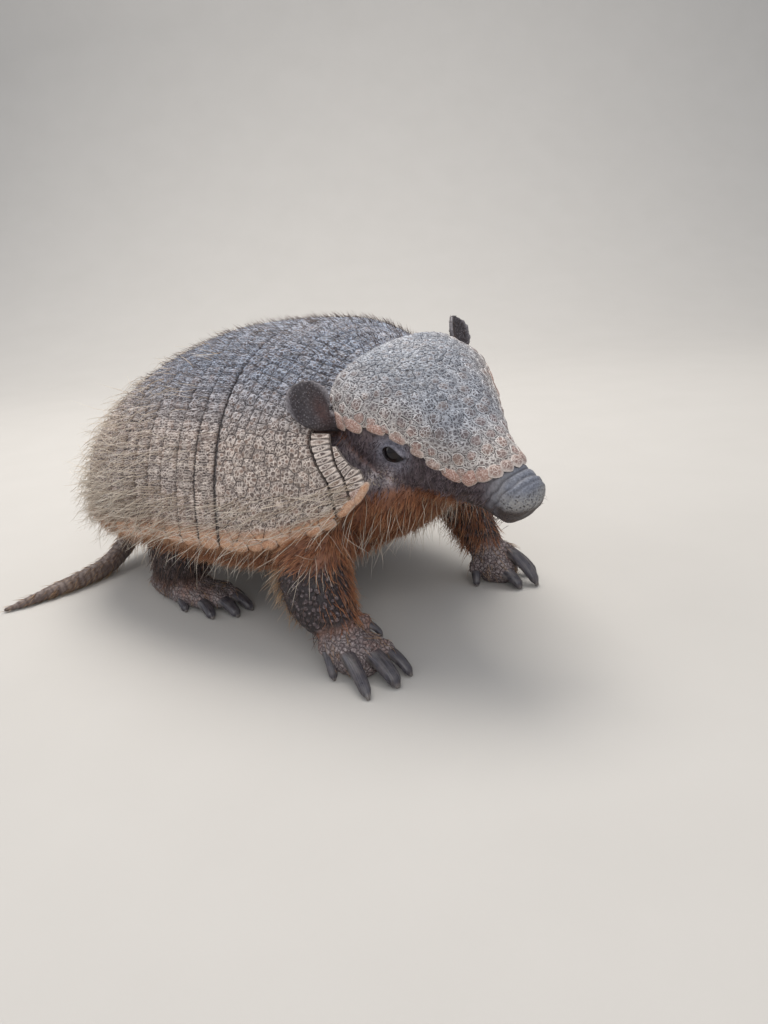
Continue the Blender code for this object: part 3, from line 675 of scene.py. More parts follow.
def lobe(name, at, along, across, up, length, width, height, values, rng, segments=12):
    """A domed marginal scute: rounded, longer than wide and flat below."""
    bm = bmesh.new()
    bmesh.ops.create_uvsphere(bm, u_segments=segments, v_segments=segments // 2 + 1, radius=1.0)
    mesh = to_mesh(name, bm)
    ball = coordinates(mesh)
    reach = np.maximum(np.linalg.norm(ball[:, :2], axis=1), 1e-6)
    square = np.maximum(np.max(np.abs(ball[:, :2]), axis=1) / reach, 0.7) ** -0.35
    x = ball[:, 0] * square * length / 2
    y = ball[:, 1] * square * width / 2
    z = np.where(ball[:, 2] > 0, ball[:, 2], ball[:, 2] * 0.6) * height
    z += 0.06 * height * np.sin(ball[:, 0] * 5 + rng.random() * 6)
    points = at + np.outer(x, along) + np.outer(y, across) + np.outer(z, up)
    set_coordinates(mesh, points)
    top = ball[:, 2]
    # rim: painted shade on the underside of the dome
    rim = 1 - smooth_step(-0.1, 0.15, top)
    tint = rng.random()
    inner = smooth_step(0.28, 0.62, top)
    for key in ARMOUR_VALUES:
        paint(mesh, **{key: np.full(len(ball), values.get(key, 0.0))})
    paint(mesh, tint=np.full(len(ball), tint), near=0.55 * np.abs(top - 0.28), wide=np.full(len(ball), FAR),
          dark=0.8 * rim, pink=values.get("pink", 0.0) * inner,
          warm=values.get("warm", 0.0) * (0.45 + 0.55 * inner))
    return mesh


def rim_lobes(rear_x, front_x, size, rng, sides=(-1.0, 1.0)):
    """Marginal scutes along a plate's share of the rim, each overlapping the next a little."""
    lobes = []
    for side in sides:
        xs = np.linspace(rear_x, front_x, 400)
        line = carapace(xs, RIM(xs) * side)
        passed = distance_along(line)
        count = max(1, round(passed[-1] / size))
        step = passed[-1] / count
        for k in range(count):
            x = np.interp((k + 0.5) * step, passed, xs)
            edge = RIM(x) * side
            at = carapace(x, edge)
            normal = outward(carapace, np.array([x]), np.array([edge]))[0]
            ahead = unit(carapace(x + 0.5, RIM(x + 0.5) * side) - carapace(x - 0.5, RIM(x - 0.5) * side))
            down = unit(np.cross(ahead, normal)) * side
            down = down * (1.0 if down[2] < 0 else -1.0)
            up = unit(normal * 0.9 + down * 0.25)
            long = unit(ahead + down * rng.normal(0.0, 0.08))
            at = at + down * 0.6 - up * 0.9 + rng.normal(0, 0.15, 3)
            length = step * rng.uniform(1.02, 1.12)
            width = (6.4 - 2.2 * smooth_step(44.0, 58.0, x)) * rng.uniform(0.9, 1.1)
            warmth = 0.85 + 0.15 * rng.random()
            lobes.append(lobe("rim", at, long, np.cross(up, long), up, length, width, 1.9,
                              dict(warm=warmth), rng))
    return lobes


def level(x):
    """An edge that runs straight across at x."""
    return lambda v: np.full(np.shape(v), x)


def along_rim(x, v):
    return v * RIM(x)


def make_back(finish):
    """The shields of shoulders and rump, the bands between them and the short bands of the neck."""
    rng = np.random.default_rng(SEED)
    scapular_front = curve(SCAPULAR_FRONT)

    shell = Shell(carapace, level(FIRST_BAND_X + 0.25), scapular_front, along_rim)
    rows = shell.rows(9, lambda i: 5.0, growth=0.45)
    mesh = lay_plate("scapular_shield", shell, (118, 560), (6, 36),
                     scute_relief(shell, rows, rng, 1.75, 0.25, gap=2.1), even_x=15.0)
    mesh = join("scapular_shield", [mesh] + rim_lobes(FIRST_BAND_X + 1.0, 57.5, 7.6, rng))
    place("shield_of_shoulders", mesh, finish, "back_armour", "scapular_shield")

    for i in range(BAND_COUNT):
        front = FIRST_BAND_X - i * BAND_WIDTH - 0.3
        rear = FIRST_BAND_X - (i + 1) * BAND_WIDTH + 0.3
        shell = Shell(carapace, level(rear), level(front), along_rim)
        rows = shell.rows(1, lambda i: 4.4)
        relief = keel_relief(shell, rows, 0.55, 1.5 if i == 0 else 0.8)
        mesh = lay_plate(f"band_{i + 1}", shell, (20, 470), (1, 36), relief, even_x=-25.0)
        mesh = join(f"band_{i + 1}", [mesh] + rim_lobes(rear, front, 9.6, rng))
        place(f"band_{i + 1}", mesh, finish, "back_armour", f"movable_band_{i + 1}")

    front = FIRST_BAND_X - BAND_COUNT * BAND_WIDTH - 0.3
    shell = Shell(carapace, level(REAR_X), level(front), along_rim)
    rows = shell.rows(9, lambda i: 4.9 - 0.1 * i)
    mesh = lay_plate("pelvic_shield", shell, (140, 440), (7, 36),
                     scute_relief(shell, rows, rng, 1.8, 0.35), even_x=-85.0)
    mesh = join("pelvic_shield", [mesh] + rim_lobes(REAR_X, front, 8.0, rng))
    place("shield_of_rump", mesh, finish, "back_armour", "pelvic_shield")

    nuchal, collar = curve(NUCHAL_FRONT), curve(COLLAR_FRONT)
    for word, side in (("right", -1.0), ("left", 1.0)):
        for k, (top, rear, front, widest) in enumerate(((NUCHAL_TOP, scapular_front, nuchal, 12.0),
                                                        (COLLAR_TOP, nuchal, collar, 6.0)), start=1):
            reach_down = lambda v, top=top: top + (1 - top) * (v + 1) / 2
            shell = Shell(
                carapace,
                lambda v, f=rear, r=reach_down: f(r(v)) + 0.45,
                lambda v, f=front, g=rear, r=reach_down, w=widest: np.minimum(f(r(v)), g(r(v)) + w),
                lambda x, v, r=reach_down, s=side: s * r(v) * RIM(x))
            make_side_band(f"nuchal_band_{k}_{word}", shell, finish, rng)


class SideShell(Shell):
    """A short plate beside the neck: v runs from its upper end at -1 to the rim at 1."""

    def where(self, u, v):
        rear = self.rear(v)
        x = rear + (self.front(v) - rear) * u
        return x, self.reach(x, v)


def make_side_band(name, shell, finish, rng):
    shell = SideShell(shell.surface, shell.rear, shell.front, shell.reach)
    rows = shell.rows(1, lambda i: 2.5)
    number = np.arange(len(rows[0]))

    def relief(points, u, v):
        edge, own = figures(points, rows[0], number, np.zeros(len(number)), 4)
        drop, border = edge_drop(shell, u, v, points, 0.7)
        height = 0.30 * (1 - np.exp(-edge / 0.4)) - 0.2 * hump(edge, 0.0, 0.2)
        inner = np.minimum(edge, border)
        pink = 0.5 * (chance(own * 1.0, 6.0) > 0.5) * smooth_step(0.5, 0.8, v)
        # dark: painted shade along the plate's borders
        values = dict(near=np.abs(inner - 0.30) * 0.8, wide=edge + 0.05, deep=np.full(len(points), 0.8),
                      dark=1 - smooth_step(0.05, 0.28, border), tint=chance(own * 1.0),
                      sky_reflection=np.zeros(len(points)), warm=smooth_step(0.93, 0.97, v), pink=pink)
        return height - drop, values

    mesh = lay_plate(name, shell, (30, 150), (1, 5), relief)
    (rear, front), edge = shell.where(np.array([0.0, 1.0]), np.array([1.0, 1.0]))
    lobes = rim_lobes(rear, front + 1.6, 7.8, rng, (np.sign(edge[0]),))
    mesh = join(name, [mesh] + lobes)
    place(f"{name}_scutes", mesh, finish, "back_armour", name)


# ---------------------------------------------------------------- the head's shield

def shield_spacing(x, v):
    """Half the spacing of the large scutes: small over the crown, large in front and at the edge."""
    front = smooth_step(14.0, 50.0, x)
    edge = smooth_step(0.35, 0.8, np.abs(v))
    return 1.55 + 1.25 * np.maximum(front, edge)


# Rear edge of the shield's scutes, which run on over the nape
NAPE_EDGE = (
    (0.0, -5.0), (0.3, -5.0), (0.5, -4.5), (0.7, -2.0), (0.84, 1.0), (0.92, 3.4), (1.0, 4.5))

# How far down the side of the head the shield reaches: it is drawn up over the eye
SHIELD_REACH = (
    (-5.0, 1.0), (8.0, 1.0), (17.0, 0.945), (26.0, 0.885), (34.0, 0.90), (42.0, 0.975), (49.0, 1.03),
    (56.0, 1.04), (62.0, 1.0), (71.0, 1.0))

# Marginal scutes of the head's shield: (x, share of the way to the edge, length, width, how pink)
SHIELD_LOBES = (
    (7.6, 0.965, 10.0, 7.4, 1.0), (16.2, 0.965, 8.4, 5.8, 1.0), (24.4, 0.965, 8.6, 4.4, 0.85),
    (32.6, 0.965, 7.4, 3.8, 0.5), (39.8, 0.955, 6.2, 3.8, 0.3), (45.8, 0.955, 6.6, 4.4, 0.4),
    (52.8, 0.955, 9.6, 5.8, 1.0), (60.4, 0.87, 8.8, 6.2, 1.0), (65.0, 0.64, 7.0, 5.6, 0.6),
    (67.8, 0.39, 6.0, 5.4, 0.3), (69.0, 0.12, 5.4, 5.2, 0.25))


def shield_lift(x):
    """Height of the shield's face above the head; it thins out towards the muzzle."""
    return SHIELD_HEIGHT - 0.9 * smooth_step(36.0, 62.0, x)


def make_head_shield(finish):
    rng = np.random.default_rng(SEED + 1)
    rear = curve(NAPE_EDGE)
    reach = curve(SHIELD_REACH)
    shell = Shell(crown, rear, lambda v: SHIELD_FRONT_X - SHIELD_FRONT_SWEEP * v ** 1.5,
                  lambda x, v: v * reach(x), shield_lift)

    u, v = rng.random(9000), rng.uniform(-1, 1, 9000)
    candidates, _ = shell.points(u, v)
    x, _ = shell.where(u, v)
    half = shield_spacing(x, v)
    picked = scatter(candidates, half * 2 * 0.88, rng)
    large, large_half = candidates[picked], half[picked]
    u, v = rng.random(26000), rng.uniform(-1, 1, 26000)
    fill, _ = shell.points(u, v)
    grains = scatter(fill, np.full(len(fill), 1.6), rng, large, large_half)
    seeds = np.concatenate([large, fill[grains]])
    large_weights = large_half * 0.64 + rng.normal(0.0, 0.22, len(large))
    weights = np.concatenate([large_weights, rng.normal(0.0, 0.08, len(grains))])
    owners = np.arange(len(seeds))

    def relief(points, u, v):
        edge, own = figures(points, seeds, owners, weights, 9)
        big = own < len(large)
        swell = (1 - np.exp(-edge / 1.0)) * np.where(big, 0.85, 0.40)
        ridge = hump(edge, np.where(big, 0.42, 0.0), 0.28)
        drop, border = edge_drop(shell, u, v, points, 1.4, 1.6)
        x, _ = shell.where(u, v)
        # the crown's painted reflection of the sky
        sky_reflection = smooth_step(0.95, 0.25, np.abs(v)) * smooth_step(66.0, 44.0, x) * 0.9
        pink = smooth_step(0.62, 0.95, np.abs(v)) * 0.85
        pink = np.maximum(pink, smooth_step(44.0, 66.0, x) * 0.6) * big * (0.25 + 0.75 * chance(own, 2.0))
        # dark: painted shade where the shield's edge falls away
        values = dict(near=np.where(big, np.abs(edge - 0.34), edge * 0.8),
                      wide=np.where(big, edge, edge + 0.1), deep=np.where(big, 0.8, 0.45),
                      dark=1 - smooth_step(0.1, 0.6, border),
                      tint=chance(own) * np.where(big, 0.9, 0.6), sky_reflection=sky_reflection, warm=np.zeros(len(edge)),
                      pink=pink * smooth_step(0.6, 1.0, edge))
        return swell + 0.16 * ridge - 0.2 * hump(edge, 0.0, 0.16) * big - 0.25 - drop, values

    mesh = lay_plate("head_shield", shell, (200, 250), (9, 12), relief)
    lobes = []
    for x, share, length, width, pinkness in SHIELD_LOBES:
        for side in (-1.0, 1.0):
            edge = side * share * reach(x)
            at = crown(np.array(x), np.array(edge))
            normal = outward(crown, np.array([x]), np.array([edge]))[0]
            ahead = unit(crown(np.array(x + 1.0), np.array(edge)) - at)
            if share < 0.9:
                border = crown(np.array(x + 2.5), np.array(edge - side * 0.22)) - at
                ahead = unit(border)
            across = unit(np.cross(normal, ahead))
            at = at + normal * (shield_lift(x) - 0.7)
            lobes.append(lobe("edge", at, ahead, across, normal, length, width, 1.5,
                              dict(pink=pinkness, warm=0.35 * pinkness), rng, 16))
    mesh = join("head_shield", [mesh] + lobes)
    set_coordinates(mesh, from_head(coordinates(mesh)))
    place("shield_of_head", mesh, finish, "head_armour", "head_shield")


# ---------------------------------------------------------------- skin

# Trunk: (x, lowest point of the belly's coat)
BELLY = ((-136.0, 42.0), (-122.0, 30.0), (-95.0, 23.0), (-50.0, 20.5), (0.0, 22.0),
         (30.0, 27.0), (50.0, 35.0))
BELLY_COAT = 4.5                # the belly's skin lies this far inside its coat
# Neck: (x, sideways, half width, top, bottom)
NECK = (
    (40.0, 0.0, 44.0, 106.0, 40.0), (52.0, -1.0, 44.5, 106.0, 41.0), (59.0, -3.0, 40.0, 96.0, 45.0),
    (66.0, -6.0, 30.0, 84.0, 50.0), (73.0, -9.0, 20.0, 77.0, 57.0), (79.0, -12.0, 9.0, 73.0, 65.0))

EAR_LENGTH = 23.5
EAR_HALF_WIDTH = 9.2
EAR_START = 0.20                # share of the ear's length that is its stalk
EARS = (
    ("right", (51.8, -48.2, 94.6), (-0.33, -0.15, 0.95), (0.80, -0.58, 0.25)),
    ("left", (61.0, 31.0, 110.0), (-0.16, 0.22, 0.96), (0.92, 0.15, 0.10)))


HIND_STEP = 6.0


def other_side(rows):
    """The left hind leg's stations: the right one's, mirrored and set a step further back."""
    return tuple(
        tuple((round(part[0] - HIND_STEP, 1), -part[1], part[2]) if isinstance(part, tuple) else part
              for part in row)
        for row in rows)


# Limbs: (centre, radius, or half width and half height) from the body down
LIMBS = {
    "foreleg_right": (
        ((35, -35, 58), 14.0), ((39, -43.5, 50), 14.6), ((43, -52.5, 39.0), 15.0),
        ((48, -56.5, 30), 14.4), ((53.5, -57.5, 23), 12.4), ((58, -57.5, 18), 10.0)),
    "foreleg_left": (
        ((36, 35, 58), 14.0), ((41, 43, 50), 14.4), ((47, 50, 40), 13.8),
        ((52, 49.5, 30), 11.0), ((57, 48.5, 23), 9.6), ((60, 48, 19), 9.0)),
    "hind_leg_right": (
        ((-64, -42, 62), 20.0, 30.0), ((-58, -50, 44), 16.5, 25.0), ((-54, -54, 31), 14.0, 21.0),
        ((-57, -55, 21), 11.2, 15.2), ((-62, -55.5, 13), 9.0, 10.5)),
}
LIMBS["hind_leg_left"] = other_side(LIMBS["hind_leg_right"])
# Feet: (centre, half width, half height) from the wrist or heel forward
FEET = {
    "forefoot_right": (
        ((55, -57, 18), 9.0, 7.5), ((61, -57.3, 13), 10.6, 9.0), ((67, -58, 7.8), 11.0, 9.4),
        ((73, -58.5, 5.8), 9.5, 7.0)),
    "forefoot_left": (
        ((57.5, 48.5, 20), 8.6, 7.2), ((62, 48.5, 15), 10.0, 9.0), ((66.5, 48.5, 7.8), 10.4, 10.2),
        ((71, 49, 5.9), 9.0, 7.7)),
    "hindfoot_right": (
        ((-79, -55.5, 6), 5.0, 4.5), ((-70, -55.5, 7.5), 8.0, 8.5), ((-58, -55, 8), 9.5, 9.6),
        ((-46, -54, 7), 11.0, 8.0), ((-36, -52.5, 5.5), 10.0, 5.6)),
}
FEET["hindfoot_left"] = other_side(FEET["hindfoot_right"])
FOOT_SIDEWAYS = {
    "forefoot_right": (0.35, 0.94, 0.0), "forefoot_left": (0.0, 1.0, 0.0),
    "hindfoot_right": (0.1, 1.0, 0.0), "hindfoot_left": (-0.1, 1.0, 0.0),
}
# Digits: (root, start of the claw, tip of the claw, toe radius, half width of the claw)
DIGITS = {
    "forefoot_right": (
        ((60, -53, 17), (65.5, -49, 17), (71.5, -44.5, 10), 4.0, 2.2),
        ((66, -53, 12), (79, -50.6, 8.6), (91, -50.2, 0.5), 4.0, 2.9),
        ((66, -57, 12), (76.5, -58, 10), (92.4, -60, 0.5), 5.0, 4.1),
        ((62, -60, 12), (68.5, -64, 10.5), (88.4, -73.1, 0.5), 4.6, 3.3),
        ((58, -61, 12), (58.5, -64.8, 10), (67.4, -70.5, 0.5), 4.0, 2.5)),
    "forefoot_left": (
        ((61, 43.5, 14), (60.5, 39.5, 7.5), (64.2, 34.6, 0.5), 3.8, 2.3),
        ((61, 45, 15), (73, 44.3, 7), (84.3, 43.8, 0.5), 5.0, 3.6),
        ((62, 49, 16), (70.5, 52.5, 15), (89.2, 51, 0.5), 4.4, 3.8),
        ((60, 53, 15), (66, 59, 12), (82, 62, 0.5), 4.2, 3.2),
        ((58, 55, 13), (59, 62, 9), (67, 67, 0.5), 3.8, 2.4)),
    "hindfoot_right": (
        ((-46, -47, 6), (-36, -42.5, 5.8), (-27, -39, 0.5), 3.8, 2.6),
        ((-42, -50, 6.5), (-25.5, -47.3, 6.6), (-13.4, -45.4, 0.5), 4.3, 3.2),
        ((-42, -54, 6.5), (-25.5, -54.6, 6.8), (-13.3, -54.2, 0.5), 4.5, 3.5),
        ((-46, -58, 6.5), (-34, -60.3, 6.4), (-22.3, -62.6, 0.5), 4.3, 3.2),
        ((-56, -60, 6), (-49, -62.5, 5.6), (-40.8, -65, 0.5), 3.8, 2.6)),
}
DIGITS["hindfoot_left"] = other_side(DIGITS["hindfoot_right"])
TAIL = (
    ((-118, 0, 50), 9.2), ((-133, -3, 44), 7.9), ((-138, -13, 33), 6.8), ((-135, -29, 20), 5.9),
    ((-128, -46, 10.4), 5.2), ((-123, -62, 5.4), 4.8), ((-121, -78, 4.4), 4.2),
    ((-121.5, -93, 3.5), 3.3), ((-123, -107, 2.4), 2.3), ((-125.5, -118, 1.2), 1.2))

PARTS = ("trunk", "neck", "head", "ear", "foreleg", "forefoot", "hind_leg", "hindfoot", "tail")
VOXEL = 1.19                    # grain of the wrapped skin
THINNING = 0.90                 # share of the hidden skin's faces that is left out


def sleeve(name, rings):
    """Closed tube through rings of points, all of the same number."""
    rings = np.asarray(rings, float)
    count, sides = rings.shape[:2]
    bm = bmesh.new()
    bmesh.ops.create_grid(bm, x_segments=count - 1, y_segments=sides, size=1.0)
    for vert in bm.verts:
        i = round((vert.co.x + 1) / 2 * (count - 1))
        k = round((vert.co.y + 1) / 2 * sides) % sides
        vert.co = rings[i, k]
    bmesh.ops.remove_doubles(bm, verts=bm.verts[:], dist=1e-4)
    bmesh.ops.holes_fill(bm, edges=open_edges(bm), sides=0)
    bmesh.ops.triangulate(bm, faces=[f for f in bm.faces if len(f.verts) > 4])
    bmesh.ops.recalc_face_normals(bm, faces=bm.faces[:])
    return to_mesh(name, bm)


def path_rings(stations, sides, per_span=5, hint=(0.0, 1.0, 0.0), close=True):
    """Round rings square to a smooth path of (centre, half width, half height)."""
    rows = [(*s[0], s[1], s[2] if len(s) > 2 else s[1]) for s in stations]
    steps = np.linspace(0, len(rows) - 1, (len(rows) - 1) * per_span + 1)
    table = [(i, *row) for i, row in enumerate(rows)]
    columns = [curve(table, k)(steps) for k in range(1, 6)]
    centres = np.stack(columns[:3], -1)
    ahead = unit(np.gradient(centres, axis=0))
    across = unit(np.array(hint) - ahead * (ahead @ np.array(hint))[:, None])
    up = np.cross(ahead, across)
    wide, high = columns[3], columns[4]
    if close:
        reach = wide[-1] * 0.8
        ends = [(centres[-1] + ahead[-1] * reach * f, s) for f, s in ((0.45, 0.86), (0.8, 0.58), (1.0, 0.15))]
        centres = np.vstack([centres] + [end[0] for end in ends])
        scale = np.array([end[1] for end in ends])
        wide = np.concatenate([wide, wide[-1] * scale])
        high = np.concatenate([high, high[-1] * scale])
        across = np.vstack([across] + [across[-1]] * 3)
        up = np.vstack([up] + [up[-1]] * 3)
    angle = np.linspace(0, 2 * np.pi, sides, endpoint=False)
    return (centres[:, None] + across[:, None] * (wide[:, None] * np.cos(angle))[..., None]
            + up[:, None] * (high[:, None] * np.sin(angle))[..., None])


def trunk_rings():
    rings = []
    belly = curve(BELLY)
    for x in np.linspace(-134.0, 48.0, 60):
        v = np.linspace(-1, 1, 49)
        spot = np.full(v.shape, x)
        over = carapace(spot, v) - outward(carapace, spot, v) * 4.4
        half_width = over[-1, 1] - 3.5
        top = over[-1, 2] - 2.0
        bottom = belly(x) + BELLY_COAT
        angle = np.pi * (np.arange(30) + 0.5) / 30
        y = half_width * signed_power(np.cos(angle), 0.8)
        z = top - (top - bottom) * np.sin(angle) ** 0.7
        rings.append(np.vstack([over, np.stack([np.full(30, x), y, z], -1)]))
    return rings


def neck_rings():
    rings = []
    rows = [curve(NECK, k) for k in range(1, 5)]
    angle = np.linspace(0, 2 * np.pi, 60, endpoint=False)
    for x in np.linspace(40.0, 79.0, 24):
        sideways, half_width, top, bottom = (row(x) for row in rows)
        middle = (top + bottom) / 2
        y = sideways + half_width * signed_power(np.cos(angle), 0.9)
        z = middle + (top - middle) * signed_power(np.sin(angle), 0.9)
        rings.append(np.stack([np.full(60, x), y, z], -1))
    return rings


def head_rings():
    rings = []
    half, _, level_at, jaw_at, lean_at = HEAD_CURVES
    tip = HEAD[-1][0]
    body = [(x, 1.0) for x in np.linspace(-11.0, tip - 4.8, 62)]
    for x, size in body + [(tip - 4.4 + 4.4 * math.cos(t), math.sin(t) ** 0.55)
                           for t in np.linspace(math.pi / 2, 0.10, 9)]:
        v = np.linspace(-1, 1, 33)
        over = crown(np.full(v.shape, min(x, tip - 2.0)), v)
        angle = np.pi * np.arange(1, 24) / 24
        half_width, level_z, jaw, lean = half(x), level_at(x), jaw_at(x), lean_at(x)
        y = half_width * signed_power(np.cos(angle), CHEEK(x))
        z = level_z - (level_z - jaw) * np.sin(angle)
        under = np.stack([x + lean * z, y, z], -1)
        ring = np.vstack([over, under])
        ring[:, 0] += max(0.0, x - (tip - 2.0))
        centre = ring.mean(axis=0)
        rings.append(centre + (ring - centre) * np.array([1.0, size, size]))
    return from_head(np.array(rings))


def ear_point(root, tip, facing, u, v, depth):
    """Points of a spoon-shaped ear: u runs from root to tip and v from edge to edge."""
    root, tip, facing = np.array(root), unit(np.array(tip)), np.array(facing)
    facing = unit(facing - tip * facing.dot(tip))
    sideways = np.cross(tip, facing)
    rounded = (u - EAR_START) / (1 - EAR_START)
    outline = 2 * (0.10 + 0.895 * rounded ** 1.3) - 1
    width = EAR_HALF_WIDTH * np.sqrt(np.maximum(0.0, 1 - outline ** 2)) ** 0.95
    width = width * (0.86 + 0.14 * np.minimum(1.0, 1.8 * rounded))
    curl = 0.55 * width * (1 - 0.35 * u)
    forward = curl * v * v - depth
    return (root + np.multiply.outer(EAR_LENGTH * u, tip) + np.multiply.outer(width * v, sideways)
            + np.multiply.outer(forward, facing))


def make_ear_mesh(name, root, tip, facing):
    bm = bmesh.new()
    bmesh.ops.create_grid(bm, x_segments=30, y_segments=24, size=1.0)
    made = bmesh.ops.extrude_face_region(bm, geom=bm.faces[:])["geom"]
    for vert in made:
        if isinstance(vert, bmesh.types.BMVert):
            vert.co.z = 1.0
    bmesh.ops.recalc_face_normals(bm, faces=bm.faces[:])
    mesh = to_mesh(name, bm)
    flat = coordinates(mesh)
    u = EAR_START + (flat[:, 0] + 1) / 2 * (1 - EAR_START)
    v = flat[:, 1]
    wall = 1.9 - 0.7 * np.abs(v) ** 3
    depth = np.where(flat[:, 2] > 0.5, -0.1, wall)
    set_coordinates(mesh, ear_point(root, tip, facing, u, v, depth))
    face_outwards(mesh)
    return mesh


def flesh():
    """The forms under the skin, each with the name of its part."""
    forms = [("trunk", sleeve("trunk_form", trunk_rings())), ("neck", sleeve("neck_form", neck_rings())),
             ("head", sleeve("head_form", head_rings()))]
    for word, *ear in EARS:
        forms.append(("ear", make_ear_mesh(f"ear_form_{word}", *ear)))
        root, tip = np.array(ear[0]), unit(np.array(ear[1]))
        start = root + tip * EAR_LENGTH * (EAR_START + 0.08)
        inside = from_head(np.array((3.0, np.sign(root[1]) * 27.0, 2.0)))
        stalk = ((inside, 5.0), ((inside + start) / 2, 4.6), (start, 4.0))
        forms.append(("ear", sleeve(f"ear_stalk_{word}", path_rings(stalk, 18, 6, (1.0, 0.0, 0.3)))))
    for name, stations in LIMBS.items():
        forms.append((name.rpartition("_")[0], sleeve(name, path_rings(stations, 28))))
    for name, stations in FEET.items():
        part = name.rpartition("_")[0]
        stations = [(s[0], s[1] - 0.3, s[2] - 0.4) for s in stations]
        forms.append((part, sleeve(name, path_rings(stations, 26, hint=FOOT_SIDEWAYS[name]))))
        for i, (root, base, tip, radius, _) in enumerate(DIGITS[name]):
            root, base, tip = (np.array(p, float) for p in (root, base, tip))
            knuckle = (root + base) / 2 + np.array((0.0, 0.0, 0.7))
            end = base + unit(tip - base) * 0.6
            toe = ((root, radius), (knuckle, radius * 0.92), (base, radius * 1.0), (end, radius * 0.93))
            forms.append((part, sleeve(f"{name}_toe_{i}", path_rings(toe, 16, 4))))
    forms.append(("tail", sleeve("tail_form", path_rings(TAIL, 22, hint=(1.0, 0.0, 0.0)))))
    return forms


def wrap(forms):
    """One closed skin round all the forms."""
    thing = add_object("forms", join("forms", [mesh for _, mesh in forms]))
    remesh = thing.modifiers.new("wrap", "REMESH")
    remesh.mode = "VOXEL"
    remesh.voxel_size = VOXEL
    remesh.adaptivity = 0.0
    return applied(thing)


def link_pairs(mesh):
    pairs = np.empty(len(mesh.edges) * 2, int)
    mesh.edges.foreach_get("vertices", pairs)
    return pairs.reshape(-1, 2)


def smoothed(values, pairs, count, share=0.5):
    """Values after each vertex has moved towards the mean of its neighbours."""
    flat = values.reshape(len(values), -1)
    degree = np.maximum(np.bincount(pairs.ravel(), minlength=len(flat)), 1)[:, None]
    for _ in range(count):
        total = np.stack([np.bincount(pairs[:, 0], flat[pairs[:, 1], k], len(flat))
                          + np.bincount(pairs[:, 1], flat[pairs[:, 0], k], len(flat))
                          for k in range(flat.shape[1])], -1)
        flat = flat + (total / degree - flat) * share
    return flat.reshape(values.shape)


def vertex_normals(mesh):
    flat = np.empty(len(mesh.vertices) * 3)
    mesh.vertex_normals.foreach_get("vector", flat)
    return flat.reshape(-1, 3)


def part_shares(points, forms, pairs):
    """How far each vertex belongs to each of PARTS, from 0 to 1, with soft borders."""
    clouds = [coordinates(mesh) for _, mesh in forms]
    labels = np.concatenate([np.full(len(c), PARTS.index(part)) for (part, _), c in zip(forms, clouds)])
    cloud = np.concatenate(clouds)
    shares = np.eye(len(PARTS))[labels[nearest_of(cloud, points)]]
    return smoothed(shares, pairs, 6)


def eye_frames():
    """Centre, outward, forward and upward axes of each eye, in the head's frame."""
    found = []
    for side in (-1.0, 1.0):
        out = unit(np.array((0.22, side, 0.02)))
        ahead = unit(np.cross(out, np.array((0.0, 0.0, 1.0)))) * side
        up = np.cross(ahead, out) * side
        found.append((np.array((EYE_AT[0], EYE_AT[1] * side, EYE_AT[2])), out, ahead, up * np.sign(up[2])))
    return found


def lid_measure(spots, centre, out, ahead, up):
    """0 in the middle of the eye, 1 on the edge of the lids; the front corner is drawn down to a point."""
    way = unit(spots - centre)
    s, t = way @ ahead * EYE_BALL, way @ up * EYE_BALL
    t = t - 0.45 + np.where(s > 0, 0.055 * s ** 2, -0.22 * s)
    pinch = 1 + 0.12 * smooth_step(0.45, 1.1, s / LID_FRONT)
    reach = np.where(s > 0, LID_FRONT, LID_REAR)
    measure = np.hypot(s / reach, t * pinch / LID_HALF_HEIGHT)
    return np.where(way @ out > 0.05, measure, FAR), t


def refine(mesh, chosen):
    """Splits the faces whose vertices are all chosen."""
    bm = bmesh.new()
    bm.from_mesh(mesh)
    bm.verts.ensure_lookup_table()
    inside = [chosen[v.index] for v in bm.verts]
    edges = [e for e in bm.edges if inside[e.verts[0].index] and inside[e.verts[1].index]]
    bmesh.ops.subdivide_edges(bm, edges=edges, cuts=1, use_grid_fill=True, smooth=0.0)
    bmesh.ops.triangulate(bm, faces=[f for f in bm.faces if len(f.verts) > 4])
    bm.to_mesh(mesh)
    bm.free()


def thin_out(mesh, hidden, ratio):
    """Simplifies what lies hidden under the armour."""
    thing = add_object("thinned", mesh)
    group = thing.vertex_groups.new(name="hidden")
    group.add(np.flatnonzero(hidden).tolist(), 1.0, "REPLACE")
    step = thing.modifiers.new("thin", "DECIMATE")
    step.ratio = ratio
    step.vertex_group = "hidden"
    step.vertex_group_factor = 60.0
    return applied(thing)


def near_eye(points, reach):
    spots = to_head(points)
    return np.min([np.linalg.norm(spots - centre, axis=1) for centre, *_ in eye_frames()], axis=0) < reach


def on_face(points):
    spots = to_head(points)
    return (spots[:, 0] > 18.0) & (spots[:, 0] < 90.0) & (spots[:, 2] > -30.0) & (spots[:, 2] < 4.0)


def under_armour(points):
    """True where the carapace covers the trunk so closely that nothing of it is seen."""
    rim = carapace(points[:, 0], np.full(len(points), 1.0))
    inside = (points[:, 2] > rim[:, 2] + 6.0) & (points[:, 0] > -134.0) & (points[:, 0] < 44.0)
    return inside & (np.abs(points[:, 1]) < rim[:, 1] + 4.0)


